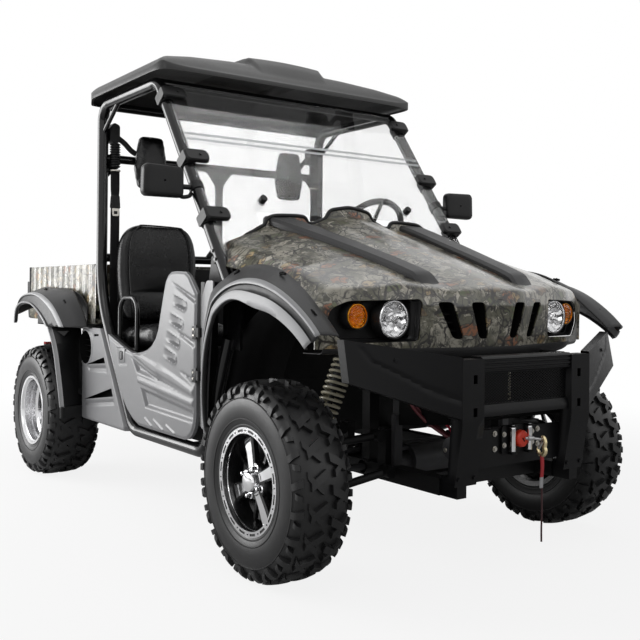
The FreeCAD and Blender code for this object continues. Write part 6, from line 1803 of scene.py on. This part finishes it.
def door_mirrors():
    """Rounded mirror shells on short arms clamped to the pillars."""
    shells, arms = Form(), Form()
    for side in (-1, 1):
        outline = rounded([(-0.079, -0.045), (-0.072, -0.058), (0.070, -0.059), (0.082, -0.046), (0.079, 0.046),
                           (0.066, 0.059), (-0.066, 0.055), (-0.079, 0.042)], 0.012, 4)
        spots = [(side * (0.737 + y), 1.289 + z) for y, z in outline]
        middle = Vector((0, side * 0.737, 1.289))
        rows = []
        for x, size in ((0.4205, 0.90), (0.4215, 0.955), (0.4260, 0.99), (0.4400, 1.0), (0.4500, 0.985),
                        (0.4560, 0.955), (0.4585, 0.90), (0.4595, 0.70), (0.4598, 0.40), (0.4598, 0.05)):
            rows.append([(x, middle.y + (y - middle.y) * size, middle.z + (z - middle.z) * size) for y, z in spots])
        shells.grid(rows, 0, round_way=True)
        glass = [(0.4214, middle.y + (y - middle.y) * 0.88, middle.z + (z - middle.z) * 0.88) for y, z in spots]
        shells.closed(glass, 1)
        shells.closed([(x + 0.0002, y, z) for x, y, z in rows[0]])
        arms.rod((0.441, side * 0.664, 1.273), (0.441, side * 0.629, 1.273), 0.0095, 0, 20)
        arms.rod((0.441, side * 0.668, 1.273), (0.441, side * 0.658, 1.273), 0.0125, 0, 20)
        arms.swept([(0.440, side * 0.676, 1.244), (0.437, side * 0.656, 1.236), (0.447, side * 0.634, 1.240),
                    (0.452, side * 0.628, 1.252)], 0.0075, 0, steps=12)
        arms.turned([(-0.016, 0.0240), (-0.016, 0.0285), (0.016, 0.0285), (0.016, 0.0240)],
                    on_pillar(1.273, side * PILLAR_Y), PILLAR, 36, 0)
    shells.make("mirror_shells", "chassis", ["black_plastic", "chrome"], sharp=40, instead=["mirrors"])
    arms.make("mirror_arms", "chassis", ["black_plastic"], sharp=35)


def cage_gussets():
    """Corner plates at the rear bars' joints, and bolts where the pillars join the sills."""
    form = Form()
    for side in (-1, 1):
        for (y0, z0), (y1, z1) in (((0.018, 1.472), (0.070, 1.404)), ((0.577, 1.472), (0.515, 1.404)),
                                   ((0.018, 1.058), (0.070, 1.126))):
            form.plate([(-0.4675, side * y0, z0), (-0.4675, side * y1, z0), (-0.4675, side * y0, z1)], (0.007, 0, 0))
        for height in (1.005, 1.035):
            bolt(form, on_pillar(height, side * 0.6235), (0, side, 0), 0.0070)
    form.make("cage_gussets", "chassis", ["satin_tube"], sharp=30, bevel=0.001)


screen_clamps()
door_mirrors()
cage_gussets()


# Seats

def loft(form, levels, steps=44, power=0.50):
    """Closed pillow through levels of (middle, half width vector, half depth vector)."""
    rows = []
    for middle, wide, deep in levels:
        row = []
        for swing in turns(steps):
            c, s = math.cos(swing), math.sin(swing)
            row.append(Vector(middle) + Vector(wide) * math.copysign(abs(c) ** power, c)
                       + Vector(deep) * math.copysign(abs(s) ** power, s))
        rows.append(row)
    form.grid(rows, 0, round_way=True)
    form.closed(rows[0], back=True)
    form.closed(rows[-1])


def seam_reach(spots, seams):
    """Distance from each spot to the nearest seam."""
    best = np.full(len(spots), 9.0)
    for seam in seams:
        for a, b in zip(seam, seam[1:]):
            a, b = np.array(a), np.array(b)
            share = np.clip(((spots - a) @ (b - a)) / max((b - a) @ (b - a), 1e-12), 0, 1)
            best = np.minimum(best, np.linalg.norm(spots - a - share[:, None] * (b - a), axis=1))
    return best


def swollen(made, start, held, most):
    """Where the cover's points come to rest under the foam's pressure."""
    group = made.vertex_groups.new(name="held")
    group.add([int(i) for i in np.nonzero(held)[0]], 1.0, "REPLACE")
    cloth = made.modifiers.new("cover", "CLOTH")
    cloth.settings.quality = 5
    cloth.settings.use_pressure = True
    cloth.settings.uniform_pressure_force = 4
    cloth.settings.vertex_group_mass = "held"
    cloth.settings.effector_weights.gravity = 0
    cloth.point_cache.frame_start = 1
    cloth.point_cache.frame_end = 20
    for step in range(1, 21):
        scene.frame_set(step)
    shaped = made.evaluated_get(bpy.context.evaluated_depsgraph_get()).data
    spots = np.empty(len(start) * 3)
    shaped.vertices.foreach_get("co", spots)
    spots = spots.reshape(-1, 3)
    made.modifiers.remove(cloth)
    made.vertex_groups.clear()
    scene.frame_set(1)
    moved = spots - start
    length = np.linalg.norm(moved, axis=1)
    length[length == 0] = 1
    return start + moved * np.minimum(1, most / length)[:, None]


def stuffed(name, nodes, form, seams, back, most=0.022, voxel=0.009):
    """Foam piece: its blank is remeshed, swollen between its seams and smoothed; back says which points stay."""
    blank = bpy.data.objects.new(name + "_blank", form.mesh(name + "_blank"))
    scene.collection.objects.link(blank)
    grain = blank.modifiers.new("voxels", "REMESH")
    grain.mode = "VOXEL"
    grain.voxel_size = voxel
    bpy.context.view_layer.update()
    solid = bpy.data.meshes.new_from_object(blank.evaluated_get(bpy.context.evaluated_depsgraph_get()))
    bpy.data.objects.remove(blank)
    made = bpy.data.objects.new(name, solid)
    scene.collection.objects.link(made)
    start = np.empty(len(solid.vertices) * 3)
    solid.vertices.foreach_get("co", start)
    start = start.reshape(-1, 3)
    held = (seam_reach(start, seams) < voxel * 0.9) | back(start)
    start = swollen(made, start, held, most)
    if seams:
        near = seam_reach(start, seams)
        middle = start.mean(axis=0)
        inward = middle - start
        inward /= np.linalg.norm(inward, axis=1)[:, None]
        start = start + inward * (0.004 * np.exp(-(near / 0.007) ** 2))[:, None]
    solid.vertices.foreach_set("co", start.ravel())
    solid.materials.clear()
    solid.materials.append(finishes["vinyl"])
    solid.shade_smooth()
    smooth = made.modifiers.new("smooth", "SUBSURF")
    smooth.levels = 1
    smooth.render_levels = 1
    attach(made, "chassis")
    if nodes:
        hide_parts(*nodes)


BACK_LEVELS = (
    # height, half width, front and rear of a seat back
    (0.760, 0.150, -0.312, -0.400), (0.775, 0.172, -0.310, -0.418), (0.830, 0.186, -0.318, -0.428),
    (0.900, 0.191, -0.332, -0.431), (1.000, 0.193, -0.342, -0.431), (1.060, 0.190, -0.346, -0.431),
    (1.110, 0.181, -0.350, -0.428), (1.150, 0.162, -0.354, -0.420), (1.175, 0.134, -0.358, -0.412),
    (1.188, 0.100, -0.364, -0.402),
)
SEAT_LEVELS = (
    # place along, half width, foot and top of a seat cushion
    (-0.372, 0.165, 0.640, 0.700), (-0.355, 0.182, 0.634, 0.722), (-0.320, 0.189, 0.634, 0.738),
    (-0.200, 0.190, 0.638, 0.748), (-0.100, 0.190, 0.642, 0.755), (-0.055, 0.188, 0.646, 0.756),
    (-0.030, 0.182, 0.650, 0.744), (-0.016, 0.168, 0.660, 0.718),
)
REST_LEVELS = (
    # height, half width, front and rear of a head rest
    (1.362, 0.052, -0.402, -0.440), (1.372, 0.064, -0.400, -0.442), (1.410, 0.073, -0.399, -0.443),
    (1.450, 0.081, -0.399, -0.443), (1.500, 0.075, -0.399, -0.443), (1.560, 0.065, -0.400, -0.442),
    (1.590, 0.058, -0.402, -0.440), (1.600, 0.046, -0.406, -0.436),
)


def seats():
    """Bucket seats of glossy black vinyl with piped seams, and their head rests."""
    for side, label in SIDES:
        y = side * 0.365
        back = Form()
        levels = smooth_rows(BACK_LEVELS, 4)
        loft(back, [((0.5 * (front + rear), y, z), (0, wide, 0), (0.5 * (front - rear), 0, 0))
                    for z, wide, front, rear in levels])
        half = [(front - 0.004, z, wide * 0.80) for z, wide, front, rear in levels]
        edge = [(x, y - w, h) for x, h, w in half[3:]] + [(x, y + w, h) for x, h, w in reversed(half[3:])]
        across = [[(-0.3285, y - 0.150, 0.880), (-0.3285, y + 0.150, 0.880)]]
        stuffed("seat_back_" + label, once("seat_backs", side), back, [edge] + across,
                lambda spots: spots[:, 0] < -0.405)
        cushion = Form()
        levels = smooth_rows(SEAT_LEVELS, 4)
        loft(cushion, [((x, y, 0.5 * (foot + head)), (0, wide, 0), (0, 0, 0.5 * (head - foot)))
                       for x, wide, foot, head in levels])
        top = [(x, head - 0.003, wide) for x, wide, foot, head in levels]
        lines = [[(x, y + turn * w * 0.62, z) for x, z, w in top[4:-4]] for turn in (-1, 1)]
        lines += [[(-0.130, y - 0.118, 0.750), (-0.130, y + 0.118, 0.750)],
                  [(-0.240, y - 0.118, 0.742), (-0.240, y + 0.118, 0.742)]]
        stuffed("seat_cushion_" + label, once("seat_cushions", side), cushion, lines,
                lambda spots: spots[:, 2] < 0.665)
        rest = Form()
        loft(rest, [((0.5 * (front + rear), side * 0.384, z), (0, wide, 0), (0.5 * (front - rear), 0, 0))
                    for z, wide, front, rear in REST_LEVELS], power=0.42)
        stuffed("head_rest_" + label, once("headrests", side), rest, [],
                lambda spots: spots[:, 0] < -0.432, most=0.006, voxel=0.007)
        piping = Form()
        route = [(x + 0.0045, spot_y, z) for x, spot_y, z in edge]
        piping.swept(route[::3] + [route[-1]], 0.0032, spans=4, steps=8)
        piping.make("seat_piping_" + label, "chassis", ["vinyl"], sharp=60)


TONGUE_PLATES = (
    # x, depth, finish, corner radius and outline of a belt's slider, tongue and its slot
    (-0.4370, 0.0070, 0, 0.008, [(-0.024, 1.262), (0.024, 1.262), (0.020, 1.322), (-0.020, 1.322)]),
    (-0.4300, 0.0030, 1, 0.006, [(-0.015, 1.228), (0.015, 1.228), (0.018, 1.262), (-0.018, 1.262)]),
    (-0.4268, 0.0006, 0, 0.003, [(-0.008, 1.236), (0.008, 1.236), (0.009, 1.250), (-0.009, 1.250)]),
)
BUCKLE_PLATES = (
    (-0.330, 0.018, 0, 0.005, [(-0.011, 0.735), (0.011, 0.735), (0.013, 0.800), (-0.013, 0.800)]),
    (-0.3115, 0.0014, 2, 0.002, [(-0.007, 0.782), (0.007, 0.782), (0.007, 0.794), (-0.007, 0.794)]),
)


def belts():
    """Reels with their bellows, rings, webbing and buckles beside the seats."""
    hardware, webs = Form(), Form()
    for side in (-1, 1):
        y = side * 0.552
        hardware.plate([(-0.4895, y + side * a, z) for a, z in rounded(
            [(-0.022, 1.562), (0.024, 1.562), (0.024, 1.628), (0.006, 1.652), (-0.022, 1.640)], 0.010)],
            (0.052, 0, 0), 0)
        hardware.swept([(-0.462, side * 0.534, 1.590), (-0.458, side * 0.500, 1.566), (-0.452, side * 0.470, 1.535),
                        (-0.448, side * 0.446, 1.520)], 0.0125, 0, steps=14)
        ripples = [(0.0, 0.012)]
        for k in range(10):
            start = 0.006 + k * 0.0110
            ripples += [(start, 0.0180), (start + 0.0028, 0.0238), (start + 0.0062, 0.0238), (start + 0.0090, 0.0180)]
        ripples.append((0.118, 0.012))
        hardware.turned(ripples, (-0.4395, y, 1.442), UP, 28)
        hardware.turned([(-0.003, 0.0200), (-0.003, 0.0252), (0.003, 0.0252), (0.003, 0.0200)],
                        (-0.4395, y, 1.433), UP, 28, 1, closed=True)
        rows = []
        for k in range(41):
            z = 1.440 - 0.455 * k / 40
            wide = 0.0215 - 0.004 * math.exp(-((z - 1.30) / 0.03) ** 2)
            bow = 0.004 * math.sin((1.44 - z) * 7)
            rows.append([(-0.4385 + bow + 0.0006 * abs(s), y + s * wide, z) for s in (-1, -0.5, 0, 0.5, 1)])
        webs.grid(rows)
        for x, depth, number, radius, outline in TONGUE_PLATES:
            hardware.front_plate(rounded(outline, radius), x, depth, number, y)
        for x, depth, number, radius, outline in BUCKLE_PLATES:
            hardware.front_plate(rounded(outline, radius), x, depth, number, side * 0.150)
    hardware.make("belt_hardware", "chassis", ["black_plastic", "plated_steel", "stop_red"], sharp=35,
                  instead=["seat_belts"])
    webs.make("belt_webbing", "chassis", ["webbing"], sharp=60, wall=0.0014, offset=0.0)


seats()
belts()


# Side panels

TUBE_LINE = ((-0.464, 0.860), (-0.096, 0.312))
WEDGES = (((-0.545, 0.553), (-0.345, 0.598), (-0.330, 0.572)), ((-0.578, 0.390), (-0.258, 0.470), (-0.240, 0.436)))
FACETS = (
    # outline, depth and slope of the sunk faces under the wedges and round the intake
    (((-0.548, 0.549), (-0.325, 0.568), (-0.300, 0.530), (-0.520, 0.520)), 0.007, 0.020),
    (((-0.582, 0.386), (-0.236, 0.430), (-0.210, 0.398), (-0.560, 0.356)), 0.007, 0.020),
)
INTAKE = (-0.560, 0.630)


def side_panel(side, label):
    """Grey panel behind the door: round intake, two wedge slots, and sunk faces under them."""
    wide, tall = 120, 130
    form = Form()
    lean = (TUBE_LINE[1][0] - TUBE_LINE[0][0]) / (TUBE_LINE[1][1] - TUBE_LINE[0][1])
    z = np.linspace(0.303, 0.722, tall)
    fronts = TUBE_LINE[0][0] + (z - TUBE_LINE[0][1]) * lean + 0.004
    fronts = np.minimum(fronts, -0.098)
    u = np.linspace(0, 1, wide)[:, None]
    x = -0.600 + (fronts[None, :] + 0.600) * u
    zz = np.repeat(z[None, :], wide, 0)
    face = 0.6345 - 0.0345 * eased((x - fronts[None, :] + 0.030) / 0.030)
    for outline, deep, slope in FACETS:
        face = face - deep * pressed(x, zz, list(outline), slope)
    reach = np.hypot(x - INTAKE[0], zz - INTAKE[1])
    face = face + 0.0035 * eased((0.088 - reach) / 0.006)
    face = face - 0.006 * eased((0.312 - zz) / 0.012)
    form.grid(rows_of(x, side * face, zz))
    shell = form.make("side_panel_" + label, "chassis", ["door_grey"], sharp=40, wall=0.003,
                      offset=side, instead=once("side_panels", side))
    tools = Form()
    for wedge in WEDGES:
        tools.side_plate(rounded(list(wedge), 0.006), side, 0.56, 0.12)
    ring = [(INTAKE[0] + 0.076 * math.cos(a), INTAKE[1] + 0.076 * math.sin(a)) for a in turns(64)]
    tools.side_plate(ring, side, 0.56, 0.12)
    slit = rounded([(-0.462, 0.684), (-0.406, 0.688), (-0.408, 0.697), (-0.462, 0.694)], 0.003)
    tools.side_plate(slit, side, 0.56, 0.12)
    carve(shell, tools, "side_cutter")
    dark = Form()
    dark.turned([(0.0345, 0.0772), (-0.030, 0.074), (-0.048, 0.060), (-0.050, 0.0002)],
                (INTAKE[0], side * 0.600, INTAKE[1]), (0, side, 0), 56)
    for k in range(5):
        z0 = INTAKE[1] - 0.052 + 0.026 * k
        half = math.sqrt(max(0.0715 ** 2 - (z0 - INTAKE[1]) ** 2, 0))
        dark.plate([(INTAKE[0] - half, side * 0.590, z0), (INTAKE[0] + half, side * 0.590, z0),
                    (INTAKE[0] + half, side * 0.612, z0 + 0.006), (INTAKE[0] - half, side * 0.612, z0 + 0.006)],
                   (0, 0, 0.002))
    dark.side_plate([(-0.598, 0.330), (-0.150, 0.330), (-0.330, 0.600), (-0.440, 0.716), (-0.598, 0.716)],
                    side, 0.590, 0.004)
    dark.make("side_recess_" + label, "chassis", ["slot_black"], sharp=40)
    cowl = Form()
    outline = [(0.560, 0.405), (0.560, 0.870), (0.590, 0.930), (0.640, 0.930), (0.636, 0.830), (0.620, 0.700),
               (0.606, 0.560), (0.600, 0.405)]
    cowl.side_plate(rounded(outline, 0.012, 3), side, 0.6322, 0.0050, crown=(0.975, 0.0006))
    cowl.block((0.540, 0.575, 0.410), (0.566, 0.6315, 0.925), 1, side < 0)
    cowl.make("cowl_side_" + label, "chassis", ["door_grey", "black_plastic"], sharp=35)


for side, label in SIDES:
    side_panel(side, label)


# Cargo bed

BED_REAR, BED_FRONT, BED_SIDE, BED_FOOT, BED_RIM = -1.4755, -0.5305, 0.6015, 0.7355, 1.0115
WALL_HEIGHTS = (BED_FOOT, 0.760, 0.798, 0.805, 0.812, 0.820, 0.850, 0.900, 0.950, 0.990, 1.004, 1.010, BED_RIM)
RIM_ROLL = {0: 0.003, 10: 0.0004, 11: 0.0022, 12: 0.0050}


def bed_wave(place, z):
    """Depth of the vertical ribs pressed into the bed's walls."""
    beat = 0.5 + 0.5 * np.cos(2 * math.pi * (place + 1.386) / 0.08)
    return 0.0050 * eased(beat * 1.5 - 0.25) * eased((z - 0.800) / 0.02)


def cargo_bed():
    """Printed bed with ribbed walls, wavy rim and a ribbed floor."""
    form = Form()
    xs = np.linspace(BED_REAR, BED_FRONT, 237)
    ys = np.linspace(-BED_SIDE, BED_SIDE, 301)
    for side in (-1, 1):
        walls = [[(x, side * (BED_SIDE - RIM_ROLL.get(k, 0) - bed_wave(x, z)), z) for k, z in enumerate(WALL_HEIGHTS)]
                 for x in xs]
        form.grid([wall + [(x, side * 0.585, BED_RIM), (x, side * 0.5805, 1.008), (x, side * 0.5800, 0.7475)]
                   for x, wall in zip(xs, walls)])
        for x, wall in ((xs[0], walls[0]), (xs[-1], walls[-1])):
            form.closed(wall + [(x, side * 0.5805, 1.008), (x, side * 0.5800, BED_FOOT)])
    form.grid([[(BED_FRONT - RIM_ROLL.get(k, 0) - bed_wave(y + 0.02, z), y, z) for k, z in enumerate(WALL_HEIGHTS)]
               + [(-0.548, y, BED_RIM), (-0.5515, y, 1.008), (-0.5520, y, 0.7475)] for y in ys])
    floor_rows = []
    for y in np.linspace(-0.580, 0.580, 233):
        lift = 0.0030 * float(eased((0.5 + 0.5 * math.cos(2 * math.pi * y / 0.097)) * 1.6 - 0.5))
        floor_rows.append([(x, y, 0.7440 + lift) for x in (-1.475, -0.552)])
    form.grid(floor_rows)
    form.closed([(-1.475, -0.600, BED_FOOT), (-0.531, -0.600, BED_FOOT), (-0.531, 0.600, BED_FOOT),
                 (-1.475, 0.600, BED_FOOT)], back=True)
    form.grid([[(BED_REAR, y, z) for y in (-0.600, 0.600)] for z in (BED_FOOT, 0.7475)])
    form.make("cargo_bed", "bed", ["camouflage"], sharp=35, instead=["bed"])


cargo_bed()
